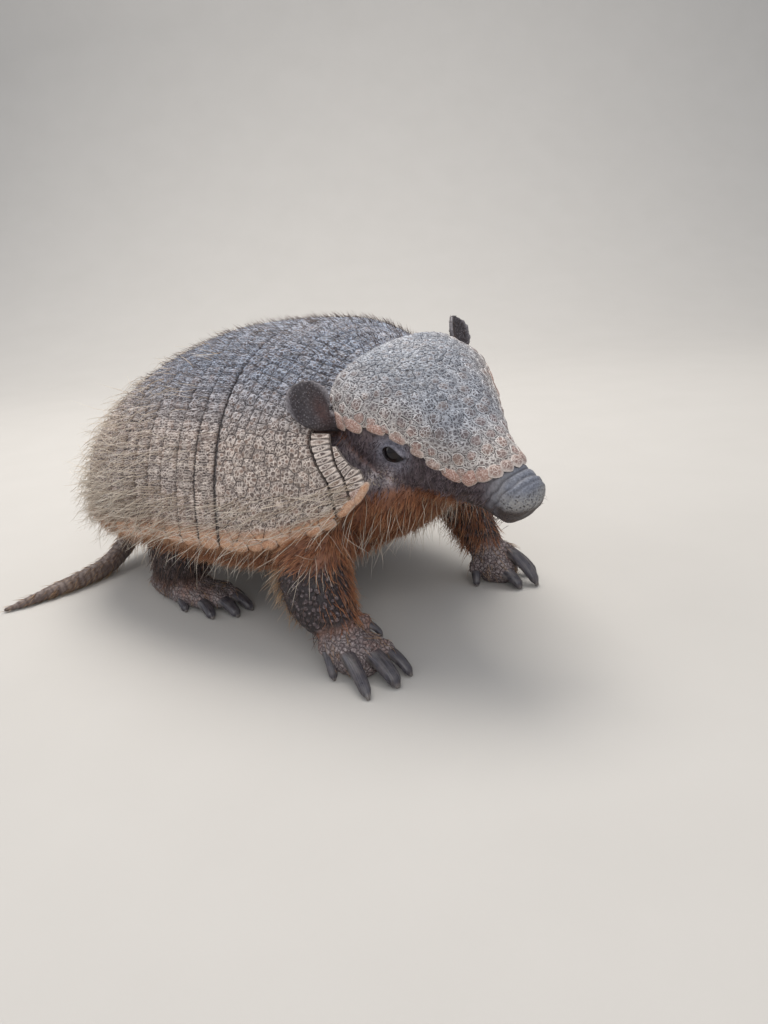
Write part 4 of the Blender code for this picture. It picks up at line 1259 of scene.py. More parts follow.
def open_lids(spots):
    """Moves the skin round each eye on to the ball, and behind it inside the lids."""
    measures = []
    inside = EYE_BALL - 0.9
    for centre, out, ahead, up in eye_frames():
        measure, t = lid_measure(spots, centre, out, ahead, up)
        offset = spots - centre
        distance = np.linalg.norm(offset, axis=1)
        measure = np.where(distance < LIDS_REACH, measure, FAR)
        upper = smooth_step(-0.5, 1.2, t)
        edge = EYE_BALL + 0.12 + 0.08 * upper
        fold = 0.2 * hump(measure, 1.32, 0.16) * (0.5 + 0.5 * upper) - 0.35 * hump(measure, 1.62, 0.14)
        fold += 0.30 * hump(measure, 1.95, 0.18) * upper - 0.25 * hump(measure, 2.2, 0.12) * upper
        target = np.where(measure < 1.0, inside, edge + fold + 0.9 * np.maximum(measure - 1.5, 0))
        target = target + (inside - target) * (1 - smooth_step(0.93, 1.04, measure))
        share = 1 - smooth_step(1.7, 2.6, measure)
        moved = centre + unit(offset) * target[:, None]
        spots = spots + (moved - spots) * share[:, None]
        measures.append(measure)
    return spots, np.min(measures, axis=0)


def carve_face(spots, normals):
    """Mouth, nostrils, folds of the muzzle and creases of the cheek. Returns new places and masks."""
    x, y, z = spots.T
    face = smooth_step(20.0, 30.0, x)
    # the line of the mouth rises a little towards its corner
    lip = -17.2 + 0.06 * (x - 84.0) + 1.2 * hump(x, 62.0, 6.0)
    mouth = hump(z, lip, 0.62) * smooth_step(53.0, 57.0, x) * smooth_step(0.5, 1.5, np.abs(y))
    below = hump(z, lip - 1.5, 1.0) * smooth_step(54.0, 60.0, x)
    above = hump(z, lip + 1.4, 1.1) * smooth_step(54.0, 60.0, x)
    depth = 0.95 * mouth - 0.25 * below - 0.3 * above
    # folds run over the muzzle and sweep back down its sides
    down = np.maximum(0.0, 4.0 - z)
    folds = np.zeros(len(x))
    for at, strength in ((70.2, 0.5), (74.0, 0.75), (77.6, 0.6), (81.0, 0.35)):
        line = at - 0.26 * down - 0.012 * down ** 2 + 0.4 * np.sin(z * 0.9 + at)
        reach = smooth_step(-15.5, -11.0, z)
        folds += strength * reach * (hump(x, line, 0.55) - 0.45 * hump(x, line + 1.5, 0.9))
    depth += 0.75 * folds
    # nostrils open forward and to the side
    side = np.sign(y)
    opening = np.sqrt(((np.abs(y) - 4.3) / 1.55) ** 2 + ((z + 10.2) / 1.35) ** 2)
    front = smooth_step(82.0, 83.5, x)
    nostril = (1 - smooth_step(0.55, 1.05, opening)) * front
    rim = hump(opening, 1.35, 0.28) * front
    # creases of the cheek and throat, which the short coat follows
    cheek = smooth_step(10.0, 18.0, x) * (1 - smooth_step(52.0, 62.0, x)) * smooth_step(3.0, -3.0, z)
    bend = x + 0.25 * z + 1.2 * np.sin(z * 0.25)
    creases = np.sin(bend * 1.55 + 1.3 * np.sin(z * 0.35)) * 0.5 + 0.5
    depth += cheek * 0.32 * creases ** 3 * face
    moved = spots - normals * depth[:, None]
    moved += np.outer(-2.4 * nostril + 0.35 * rim, np.array((1.0, 0.0, 0.0)))
    moved[:, 1] -= side * 0.5 * nostril
    return moved, mouth, np.clip(folds, 0, 1), nostril, creases * cheek


def scales_between(points, rng, wanted, spacing):
    """Distance of each chosen vertex to the border of its scale, for scales of about one spacing."""
    chosen = np.flatnonzero(wanted)
    edge = np.full(len(points), FAR)
    owner = np.zeros(len(points))
    pool = points[rng.choice(chosen, min(len(chosen), 6000), replace=False)]
    seeds = pool[scatter(pool, np.full(len(pool), spacing), rng)]
    numbers = np.arange(len(seeds))
    edge[chosen], own = figures(points[chosen], seeds, numbers, rng.normal(0, 0.12 * spacing, len(seeds)), 6)
    owner[chosen] = own
    return edge, owner


def make_skin():
    rng = np.random.default_rng(SEED + 2)
    forms = flesh()
    clouds = [(part, mesh.copy()) for part, mesh in forms]
    mesh = wrap(forms)
    points = smoothed(coordinates(mesh), link_pairs(mesh), 3)
    set_coordinates(mesh, points)
    hidden = under_armour(points)
    mesh = thin_out(mesh, hidden, 1 - THINNING * hidden.mean())
    refine(mesh, on_face(coordinates(mesh)))
    refine(mesh, near_eye(coordinates(mesh), 9.0))
    pairs = link_pairs(mesh)
    points = coordinates(mesh)
    normals = smoothed(vertex_normals(mesh), pairs, 3)
    shares = part_shares(points, clouds, pairs)
    share = dict(zip(PARTS, shares.T))

    spots = to_head(points)
    on_head = share["head"] > 0.5
    carved, mouth, folds, nostril, creases = carve_face(spots, unit(normals) @ HEAD_AXES)
    spots = np.where(on_head[:, None], spots + (carved - spots) * share["head"][:, None], spots)
    spots, lids = open_lids(spots)
    points = np.where((share["head"] > 0.02)[:, None] | (lids < 9.0)[:, None], from_head(spots), points)

    leg = np.maximum(share["foreleg"], share["hind_leg"])
    foot = np.maximum(share["forefoot"], share["hindfoot"])
    big_edge, big_owner = scales_between(points, rng, (leg > 0.3) & (foot < 0.7), 2.9)
    small_edge, small_owner = scales_between(points, rng, foot > 0.3, 2.5)
    scale_mask = leg * smooth_step(62.0, 50.0, points[:, 2])
    dome_big = (1 - np.exp(-big_edge / 0.6)) * scale_mask * (big_edge < FAR)
    dome_small = (1 - np.exp(-small_edge / 0.55)) * foot * (small_edge < FAR)
    lift = 0.40 * dome_big + 0.35 * dome_small
    tail_ring, tail_pale = tail_scales(points)
    lift += 0.35 * tail_ring * share["tail"]
    points = points + unit(normals) * (lift - 0.35 * scale_mask - 0.2 * foot)[:, None]
    points[:, 2] = np.maximum(points[:, 2], 0.12)
    set_coordinates(mesh, points)

    head_x, _, head_z = to_head(points).T
    zone = smooth_step(-24.0, -20.0, head_z) * smooth_step(40.0, 46.0, points[:, 0]) * (1 - share["ear"])
    throat = smooth_step(-20.5, -25.0, head_z - 0.10 * head_x) * smooth_step(58.0, 46.0, head_x)
    head = np.maximum(share["head"], zone * np.maximum(share["neck"], share["trunk"])) * (1 - throat)
    hollow_shade, ear_edge = (values * share["ear"] for values in ear_hollow(points))
    shoulder = np.clip(share["foreleg"], 0, 1) * smooth_step(40.0, 46.0, points[:, 2])
    jitter = chance(np.floor(small_owner), 3.0) * foot + chance(np.floor(big_owner), 5.0) * leg
    paint(mesh,
          head=head, ear=share["ear"], hollow=hollow_shade, ear_edge=ear_edge,
          leg=leg * (1 - foot) * (1 - shoulder), foot=foot, tail=share["tail"],
          snout=head * smooth_step(62.0, 73.0, head_x) * smooth_step(-20.0, -13.0, head_z),
          dusty=head * smooth_step(72.0, 81.0, head_x) * smooth_step(-12.0, -8.5, head_z)
          * smooth_step(-1.0, -5.0, head_z),
          chin=head * np.maximum(smooth_step(48.0, 58.0, head_x) * smooth_step(-12.5, -17.0, head_z),
                                 smooth_step(68.0, 75.0, head_x) * smooth_step(-7.0, -10.5, head_z)),
          pale_patch=head * hump(head_x, 25.0, 5.5) * hump(head_z, -15.5 - 0.25 * (head_x - 25.0), 3.0),
          lid=head * (1 - smooth_step(1.9, 2.6, lids)), wet=np.maximum(hump(lids, 1.0, 0.10), nostril),
          seam=np.clip(mouth + 0.8 * folds, 0, 1) * head, crease=creases * head,
          raised=np.clip(np.maximum(dome_big, dome_small), 0, 1) * 0.8 + tail_pale * share["tail"] * 0.5,
          tint=jitter, fore=np.maximum(share["foreleg"], share["forefoot"]))
    nodes = ["trunk", "neck", "head", "ear_right", "ear_left", "tail_base", "tail_tip"]
    nodes += list(LIMBS) + list(FEET)
    return place("skin", mesh, skin_finish(), "skin", *nodes)


def tail_scales(points):
    """Rings of small scales round the tail: how far each vertex is raised, and how pale it is."""
    rings = path_rings(TAIL, 4, 12, (1.0, 0.0, 0.0), False)
    middle = rings.mean(axis=1)
    length = distance_along(middle)
    close = points[:, 0] < -100.0
    own = np.zeros(len(points), int)
    own[close] = nearest_of(middle, points[close])
    ahead = unit(np.gradient(middle, axis=0))[own]
    along = length[own] + np.sum((points - middle[own]) * ahead, axis=1)
    ring = np.abs(np.modf(along / 3.4)[0] - 0.5) * 2
    return 1 - ring ** 3, hump(ring, 0.65, 0.25)


def ear_hollow(points):
    """1 in the opening of each ear, where painted shade darkens the hollow, and 0 elsewhere, and 1 along its
    edge.
    """
    deep = np.zeros(len(points))
    edge = np.zeros(len(points))
    for _, root, tip, facing in EARS:
        axis = unit(np.array(tip))
        front = unit(np.array(facing) - axis * np.dot(axis, facing))
        offset = points - np.array(root)
        up = offset @ axis
        beside = np.linalg.norm(offset - np.outer(up, axis), axis=1)
        near = (up > -2.0) & (up < EAR_LENGTH + 2) & (beside < 13)
        across = offset @ np.cross(axis, front)
        height = offset @ front - 0.0315 * across ** 2
        front_edge = across * np.sign(root[1])
        opening = smooth_step(-1.2, 0.3, height) * hump(front_edge, -3.6, 2.8) * hump(up, 9.5, 5.5)
        deep = np.where(near, opening, deep)
        rounded = np.clip((up / EAR_LENGTH - EAR_START) / (1 - EAR_START), 0.0, 1.0)
        half = EAR_HALF_WIDTH * np.sqrt(np.maximum(0.05, 1 - (1.75 * rounded - 0.76) ** 2))
        edge = np.where(near & (up > 6.0), smooth_step(0.70, 0.92, np.abs(across) / half), edge)
    return deep, edge


def skin_finish():
    """Every part of the hide, in one finish that the painted shares blend."""
    p = Finish("hide", 0.62)
    painted, spread, blend, times = p.painted, p.spread, p.blend, p.times
    fine = p.noise(0.8, 4.0)
    medium = p.noise(3.2, 3.0)
    broad = p.noise(11.0, 3.0)
    streaks = p.noise(1.3, 3.0, vector=p.place(stretch=(1.0, 1.0, 0.28)))

    colour = blend(spread(medium, 0.35, 0.65), (0.135, 0.050, 0.026), (0.225, 0.095, 0.050))
    head = blend(spread(streaks, 0.38, 0.62), (0.040, 0.027, 0.032), (0.150, 0.115, 0.132))
    head = blend(spread(medium, 0.4, 0.7, 0.0, 0.4), head, (0.15, 0.115, 0.105))
    colour = blend(painted("head"), colour, head)
    snout = blend(spread(fine, 0.3, 0.7), (0.082, 0.088, 0.112), (0.190, 0.200, 0.240))
    snout = blend(spread(broad, 0.4, 0.65, 0.0, 0.5), snout, (0.25, 0.235, 0.235))
    colour = blend(painted("snout"), colour, snout)
    sand = times(painted("dusty"), spread(fine, 0.35, 0.65, 0.25, 0.85))
    colour = blend(sand, colour, (0.29, 0.275, 0.25))
    spots = p.cells(1.0)
    speckle = times(spread(spots, 0.30, 0.44, 1.0, 0.0), spread(medium, 0.32, 0.55))
    speckle = times(speckle, painted("snout"))
    speckle = times(speckle, spread(painted("dusty"), 0.0, 0.6, 0.25, 0.9))
    colour = blend(speckle, colour, (0.026, 0.020, 0.020))
    powder = times(painted("pale_patch"), spread(fine, 0.42, 0.58, 0.05, 1.0))
    colour = blend(powder, colour, (0.52, 0.46, 0.47))
    colour = blend(times(painted("chin"), spread(medium, 0.3, 0.6, 0.8, 1.0)), colour,
                   blend(spread(fine, 0.35, 0.65), (0.018, 0.011, 0.010), (0.070, 0.048, 0.040)))
    lid = blend(spread(fine, 0.32, 0.68), (0.130, 0.126, 0.158), (0.400, 0.390, 0.460))
    colour = blend(times(painted("lid"), 0.85), colour, lid)
    dots = spread(p.cells(0.9), 0.15, 0.42)
    ear = blend(dots, (0.135, 0.118, 0.128), (0.026, 0.019, 0.022))
    ear = blend(spread(fine, 0.45, 0.7, 0.0, 0.6), ear, (0.075, 0.062, 0.068))
    worn_edge = times(painted("ear_edge"), spread(fine, 0.3, 0.6, 0.35, 0.9))
    ear = blend(worn_edge, ear, (0.240, 0.220, 0.232))
    # the ear's opening: reddish skin with painted shade in the hollow
    hollow = blend(spread(fine, 0.35, 0.7), (0.030, 0.010, 0.009), (0.075, 0.030, 0.024))
    ear = blend(painted("hollow"), ear, hollow)
    colour = blend(painted("ear"), colour, ear)

    # round tubercles down the legs, each ringed by a painted highlight, and flat cracked scales on the feet
    raised = painted("raised")
    knobs = p.cells(2.5, randomness=0.75)
    dome = spread(knobs, 0.30, 0.54, 1.0, 0.0)
    ring = times(spread(knobs, 0.16, 0.28), spread(knobs, 0.28, 0.42, 1.0, 0.0))
    knob = blend(painted("tint"), (0.048, 0.032, 0.035), (0.090, 0.064, 0.068))
    leg = blend(dome, (0.016, 0.010, 0.011), knob)
    # painted highlight: a pale ring on the tubercles
    leg = blend(times(ring, spread(fine, 0.48, 0.68, 0.05, 0.85)), leg, (0.300, 0.255, 0.255))
    colour = blend(painted("leg"), colour, leg)
    gaps = p.cells(2.0, "DISTANCE_TO_EDGE", 0.8)
    foot = blend(painted("tint"), (0.085, 0.055, 0.056), (0.210, 0.165, 0.160))
    foot = blend(spread(fine, 0.45, 0.65, 0.0, 0.7), foot, (0.330, 0.290, 0.285))
    foot = blend(spread(broad, 0.5, 0.7, 0.0, 0.55), foot, (0.24, 0.105, 0.062))
    foot = blend(spread(gaps, 0.01, 0.10, 0.8, 0.0), foot, (0.028, 0.018, 0.019))
    colour = blend(painted("foot"), colour, foot)
    tail = blend(raised, (0.070, 0.048, 0.044), (0.340, 0.275, 0.240))
    tail = blend(spread(fine, 0.4, 0.7, 0.0, 0.5), tail, (0.12, 0.075, 0.062))
    colour = blend(painted("tail"), colour, tail)
    # near black along the mouth's line and in the muzzle's folds: painted shade
    colour = blend(painted("seam"), colour, (0.022, 0.018, 0.020))
    # painted shade in the creases of the cheek, fading out on the lids
    crease = times(painted("crease"), spread(painted("lid"), 0.0, 0.6, 0.6, 0.0))
    colour = blend(crease, colour, (0.026, 0.019, 0.022))
    # the nostrils and the lids' edges against the ball are wet, and near black for painted shade in these
    # hollows
    colour = blend(painted("wet"), colour, (0.012, 0.009, 0.010))
    p.set("Base Color", colour)
    p.set("Roughness", spread(painted("wet"), 0.0, 1.0, 0.62, 0.22))

    p.bump(times(dome, painted("leg")), 0.9, 1.0)
    p.bump(times(spread(gaps, 0.0, 0.2), painted("foot")), 0.45, 1.0)
    pits = p.cells(0.95)
    p.bump(spread(pits, 0.0, 0.45), 0.16, 0.9)
    p.bump(medium, 0.35, 0.7)
    p.bump(fine, 0.12, 0.9)
    return p.material


# ---------------------------------------------------------------- eyes and claws

def eye_finish():
    """Near black and wet, with a dark brown ring of iris."""
    p = Finish("wet_eye", 0.06)
    iris = p.blend(p.noise(0.6, 3.0), (0.006, 0.004, 0.004), (0.016, 0.009, 0.007))
    ball = p.blend(p.painted("iris"), (0.006, 0.005, 0.006), iris)
    p.set("Base Color", p.blend(p.painted("white"), ball, (0.016, 0.010, 0.010)))
    p.set("IOR", 1.38)
    p.bump(p.noise(2.5, 2.0), 0.03, 0.4)
    return p.material


def make_eyes():
    finish = eye_finish()
    for word, (centre, out, ahead, up) in zip(("right", "left"), eye_frames()):
        bm = bmesh.new()
        bmesh.ops.create_uvsphere(bm, u_segments=48, v_segments=28, radius=1.0)
        mesh = to_mesh(f"eye_{word}", bm)
        ball = coordinates(mesh)
        look = unit(out + 0.04 * ahead)
        turn = np.stack([ahead, up, look])
        angle = np.arccos(np.clip(unit(ball)[:, 2], -1, 1))
        cornea = 0.22 * (1 - smooth_step(0.0, 0.75, angle))
        set_coordinates(mesh, from_head(centre + (ball * (EYE_BALL - 0.08 + cornea[:, None])) @ turn))
        paint(mesh, iris=hump(angle, 0.62, 0.16), white=smooth_step(0.98, 1.15, angle))
        face_outwards(mesh)
        place(f"eyeball_{word}", mesh, finish, "eye", f"eye_{word}")


def claw_finish():
    p = Finish("claw_horn", 0.36)
    grain = p.node("ShaderNodeCombineXYZ")
    p.feed(grain.inputs[0], p.times(p.painted("along"), 1.6))
    p.feed(grain.inputs[1], p.times(p.painted("side"), 9.0))
    p.feed(grain.inputs[2], p.times(p.painted("tint"), 40.0))
    streak = p.noise(1000.0, 4.0, vector=grain.outputs[0])
    blotch = p.noise(2.6, 3.0)
    horn = p.blend(p.spread(streak, 0.35, 0.65), (0.018, 0.014, 0.016), (0.070, 0.064, 0.076))
    horn = p.blend(p.spread(blotch, 0.45, 0.7, 0.0, 0.45), horn, (0.120, 0.102, 0.096))
    worn = p.spread(p.math("ADD", p.painted("edge"), p.times(streak, 0.5)), 1.0, 1.5, 0.0, 0.6)
    horn = p.blend(worn, horn, (0.33, 0.285, 0.245))
    root = p.spread(p.painted("along"), 0.0, 0.16, 0.75, 0.0)
    horn = p.blend(root, horn, (0.075, 0.042, 0.036))
    p.set("Base Color", horn)
    p.set("Roughness", p.spread(blotch, 0.3, 0.7, 0.26, 0.5))
    p.bump(streak, 0.18, 0.8)
    p.bump(p.noise(0.5, 3.0), 0.06, 0.6)
    return p.material


def make_claws():
    rng = np.random.default_rng(SEED + 3)
    finish = claw_finish()
    sides, spans = 18, 26
    for foot, digits in DIGITS.items():
        for i, (_, base, tip, _, half_width) in enumerate(digits, start=1):
            base, tip = np.array(base, float), np.array(tip, float)
            length = np.linalg.norm(tip - base)
            ahead = unit(tip - base)
            sideways = unit(np.cross((0.0, 0.0, 1.0), ahead))
            upward = np.cross(ahead, sideways)
            t = np.linspace(-1.5 / length, 1.0, spans)
            size = 1.0 - 0.34 * np.clip(t, 0, 1) ** 1.6 - 0.42 * smooth_step(0.80, 1.0, t) ** 1.5
            size = size * np.where(t > 0.97, 0.82, 1.0)
            middle = (base + np.outer(t * length, ahead)
                      + np.outer(length * 0.32 * np.maximum(t, 0) * (1 - t), upward))
            angle = np.linspace(0, 2 * np.pi, sides, endpoint=False)
            over = np.sin(angle) > 0
            wide = signed_power(np.cos(angle), 0.85)
            high = np.where(over, np.abs(np.sin(angle)) ** 0.9, -0.45 * np.abs(np.sin(angle)) ** 0.7)
            rings = (middle[:, None] + np.multiply.outer(half_width * size, wide)[..., None] * sideways
                     + np.multiply.outer(half_width * size * 0.86, high)[..., None] * upward)
            rings[..., 2] = np.maximum(rings[..., 2], 0.15)
            mesh = sleeve(f"{foot}_claw_{i}", rings)
            points = coordinates(mesh)
            along = (points - base) @ ahead / length
            side = (points - base) @ sideways / half_width
            paint(mesh, along=along, side=side, tint=np.full(len(points), rng.random()),
                  edge=np.maximum(np.abs(side) ** 2, smooth_step(0.75, 1.0, along)))
            place(f"{foot}_claw_{i}_horn", mesh, finish, "claw", f"{foot}_claw_{i}")


# ---------------------------------------------------------------- coat

PATCH = 0.003                   # size of a hair's place on the bake map
MOST_FACES = 190000             # triangles in one piece of the coat


def hair_pattern(rings):
    """One thin closed hair: its height is how far along it a vertex lies."""
    bm = bmesh.new()
    bmesh.ops.create_circle(bm, segments=3, radius=1.0, cap_ends=True)
    edges = open_edges(bm)
    for k in range(1, rings + 1):
        made = bmesh.ops.extrude_edge_only(bm, edges=edges)["geom"]
        fresh = [v for v in made if isinstance(v, bmesh.types.BMVert)]
        for vert in fresh:
            vert.co.z = k / rings
        inside = set(fresh)
        edges = [e for e in made if isinstance(e, bmesh.types.BMEdge) and inside.issuperset(e.verts)]
    bmesh.ops.pointmerge(bm, verts=fresh, merge_co=(0.0, 0.0, 1.0))
    bmesh.ops.triangulate(bm, faces=bm.faces[:])
    bmesh.ops.recalc_face_normals(bm, faces=bm.faces[:])
    return to_mesh("hair", bm)


def copies(name, pattern, count):
    """One mesh of as many copies of the pattern, all in one place."""
    thing = add_object(name, pattern)
    step = thing.modifiers.new("copies", "ARRAY")
    step.count = count
    step.use_relative_offset = False
    step.use_constant_offset = True
    mesh = applied(thing)
    mesh.name = name
    return mesh


class Hide:
    """The skin as the coat sees it: where hairs can stand, how it faces and what part it is."""

    def __init__(self, skin):
        mesh = skin.data
        self.points = coordinates(mesh) / MM - BODY_SHIFT
        self.normals = vertex_normals(mesh)
        mesh.calc_loop_triangles()
        flat = np.empty(len(mesh.loop_triangles) * 3, int)
        mesh.loop_triangles.foreach_get("vertices", flat)
        self.faces = flat.reshape(-1, 3)
        a, b, c = (self.points[self.faces[:, k]] for k in range(3))
        self.areas = np.linalg.norm(np.cross(b - a, c - a), axis=1) / 2
        self.shares = {}
        for name in ("head", "ear", "hollow", "leg", "foot", "tail", "snout", "lid", "chin", "fore",
                     "pale_patch"):
            values = np.empty(len(mesh.vertices), np.float32)
            mesh.attributes[name].data.foreach_get("value", values)
            self.shares[name] = values.astype(float)

    def roots(self, weight, per_area, rng):
        """Random places, normals and weights where the weight of the vertices allows hairs."""
        each = self.areas * weight[self.faces].mean(axis=1)
        count = int(each.sum() * per_area)
        picked = rng.choice(len(each), count, p=each / each.sum())
        mix = rng.dirichlet((1.0, 1.0, 1.0), count)
        corners = self.faces[picked]
        places = np.einsum("nk,nkd->nd", mix, self.points[corners])
        normals = unit(np.einsum("nk,nkd->nd", mix, self.normals[corners]))
        return places, normals


def along_skin(normals, way, rise):
    """Directions that follow a way laid on the skin and lift off it by a share."""
    flat = unit(way - normals * np.sum(way * normals, axis=1)[:, None])
    return unit(flat + normals * np.asarray(rise)[..., None])


def bake_place(roots):
    """Place of each root on an unwrap of the skin: every part of the body has a field of its own."""
    x, y, z = roots.T
    spots = to_head(roots)
    on_head = (spots[:, 0] > 0.0) & (spots[:, 2] > -33.0)
    below = (z < 45.0) & ~on_head & (np.abs(y) > 30.0)
    round_body = np.arctan2(z - 70.0, y) / (2 * np.pi) + 0.5
    u = 0.02 + 0.46 * np.clip((x + 145.0) / 230.0, 0, 1)
    v = 0.02 + 0.46 * round_body
    round_head = np.arctan2(spots[:, 2] + 8.0, spots[:, 1]) / (2 * np.pi) + 0.5
    u = np.where(on_head, 0.52 + 0.46 * np.clip(spots[:, 0] / 95.0, 0, 1), u)
    v = np.where(on_head, 0.02 + 0.46 * round_head, v)
    quarter = (x > 0).astype(float) + 2 * (y > 0)
    middle_x = np.where(x > 0, 50.0, -58.0)
    round_leg = np.arctan2(x - middle_x, np.abs(y) - 54.0) / (2 * np.pi) + 0.5
    u = np.where(below, 0.02 + 0.24 * quarter + 0.21 * round_leg, u)
    v = np.where(below, 0.52 + 0.46 * np.clip(z / 45.0, 0, 1), v)
    return np.stack([u, v], -1)


def grow(name, finish, roots, ways, lengths, width, rng, rings=4, droop=0.1, curl=0.08, clump=0.35,
         lock=7, taper=0.75):
    """Hairs as joined closed meshes in as many pieces as their number asks for."""
    pattern = hair_pattern(rings)
    t = coordinates(pattern)[:, 2]
    corner = coordinates(pattern)[:, :2]
    total = len(roots)
    leaders = rng.choice(total, max(1, total // lock), replace=False)
    nearest = nearest_of(roots[leaders], roots)
    gather = roots[leaders[nearest]] - roots
    reach = np.linalg.norm(gather, axis=1, keepdims=True)
    gather = gather * np.minimum(1.0, 0.5 * lengths[:, None] / np.maximum(reach, 1e-6)) * clump
    lock_tint = rng.random(len(leaders))[nearest]
    tint = np.clip(0.55 * lock_tint + 0.45 * rng.random(total), 0, 1)
    sideways = unit(np.cross(ways, rng.normal(0.0, 1.0, (total, 3))))
    other = np.cross(ways, sideways)
    bend = sideways * (rng.normal(0.0, curl, total) * lengths)[:, None]
    bend[:, 2] -= droop * lengths
    wave = other * (rng.normal(0.0, 0.35 * curl, total) * lengths)[:, None]
    spine = (roots[:, None] + ways[:, None] * (lengths[:, None] * t)[..., None]
             + bend[:, None] * (t ** 2)[:, None] + wave[:, None] * np.sin(t * 5.0)[:, None]
             + gather[:, None] * (t ** 1.4)[:, None])
    radius = width / 2 * (1 - taper * t ** 1.5)
    points = (spine + sideways[:, None] * (radius * corner[:, 0])[:, None]
              + other[:, None] * (radius * corner[:, 1])[:, None])
    points[..., 2] = np.maximum(points[..., 2], 0.1)
    places = bake_place(roots)
    most = MOST_FACES // len(pattern.polygons)
    loops = np.empty(len(pattern.loops), int)
    pattern.loops.foreach_get("vertex_index", loops)
    patch = np.stack([0.5 + 0.4 * corner[:, 0] * (1 - t), t], -1)[loops] * PATCH
    for number, start in enumerate(range(0, total, most), start=1):
        own = slice(start, min(start + most, total))
        count = own.stop - own.start
        mesh = copies(f"{name}_{number}", pattern.copy(), count)
        set_coordinates(mesh, points[own].reshape(-1, 3))
        paint(mesh, along=np.tile(t, count), tint=np.repeat(tint[own], len(t)))
        layer = mesh.uv_layers.new(name="OFBake")
        spread_out = (places[own][:, None] + patch[None]).reshape(-1)
        layer.data.foreach_set("uv", np.ascontiguousarray(spread_out, np.float32))
        place(f"{name}_{number}", mesh, finish, "coat")


def coat_finish(name, root, low, high, tip, roughness=0.55):
    """Hair that is dark at its root, with locks of two colours and pale tips."""
    p = Finish(name, roughness)
    lock = p.blend(p.painted("tint"), low, high)
    patch = p.spread(p.noise(16.0, 2.0), 0.35, 0.65, 0.0, 0.35)
    lock = p.blend(patch, lock, low)
    colour = p.blend(p.spread(p.painted("along"), 0.0, 0.42), root, lock)
    pale = p.times(p.spread(p.painted("along"), 0.5, 1.0),
                   p.spread(p.painted("tint"), 0.2, 0.9, 0.25, 1.0))
    p.set("Base Color", p.blend(pale, colour, tip))
    p.bump(p.noise(0.3, 2.0), 0.03, 0.5)
    return p.material


def cover(name, finish, hide, weight, per_area, direction, stray, rise, lengths, width, rng, axes=None,
          **lie):
    """Grows hairs where weight allows: they lie in one direction, stray from it and rise off the skin."""
    roots, normals = hide.roots(weight, per_area, rng)
    way = np.array(direction, float) + rng.normal(0, stray, roots.shape)
    if axes is not None:
        way = way @ axes.T
    way = along_skin(normals, way, rng.uniform(*rise, len(roots)))
    grow(name, finish, roots, way, rng.uniform(*lengths, len(roots)), width, rng, **lie)


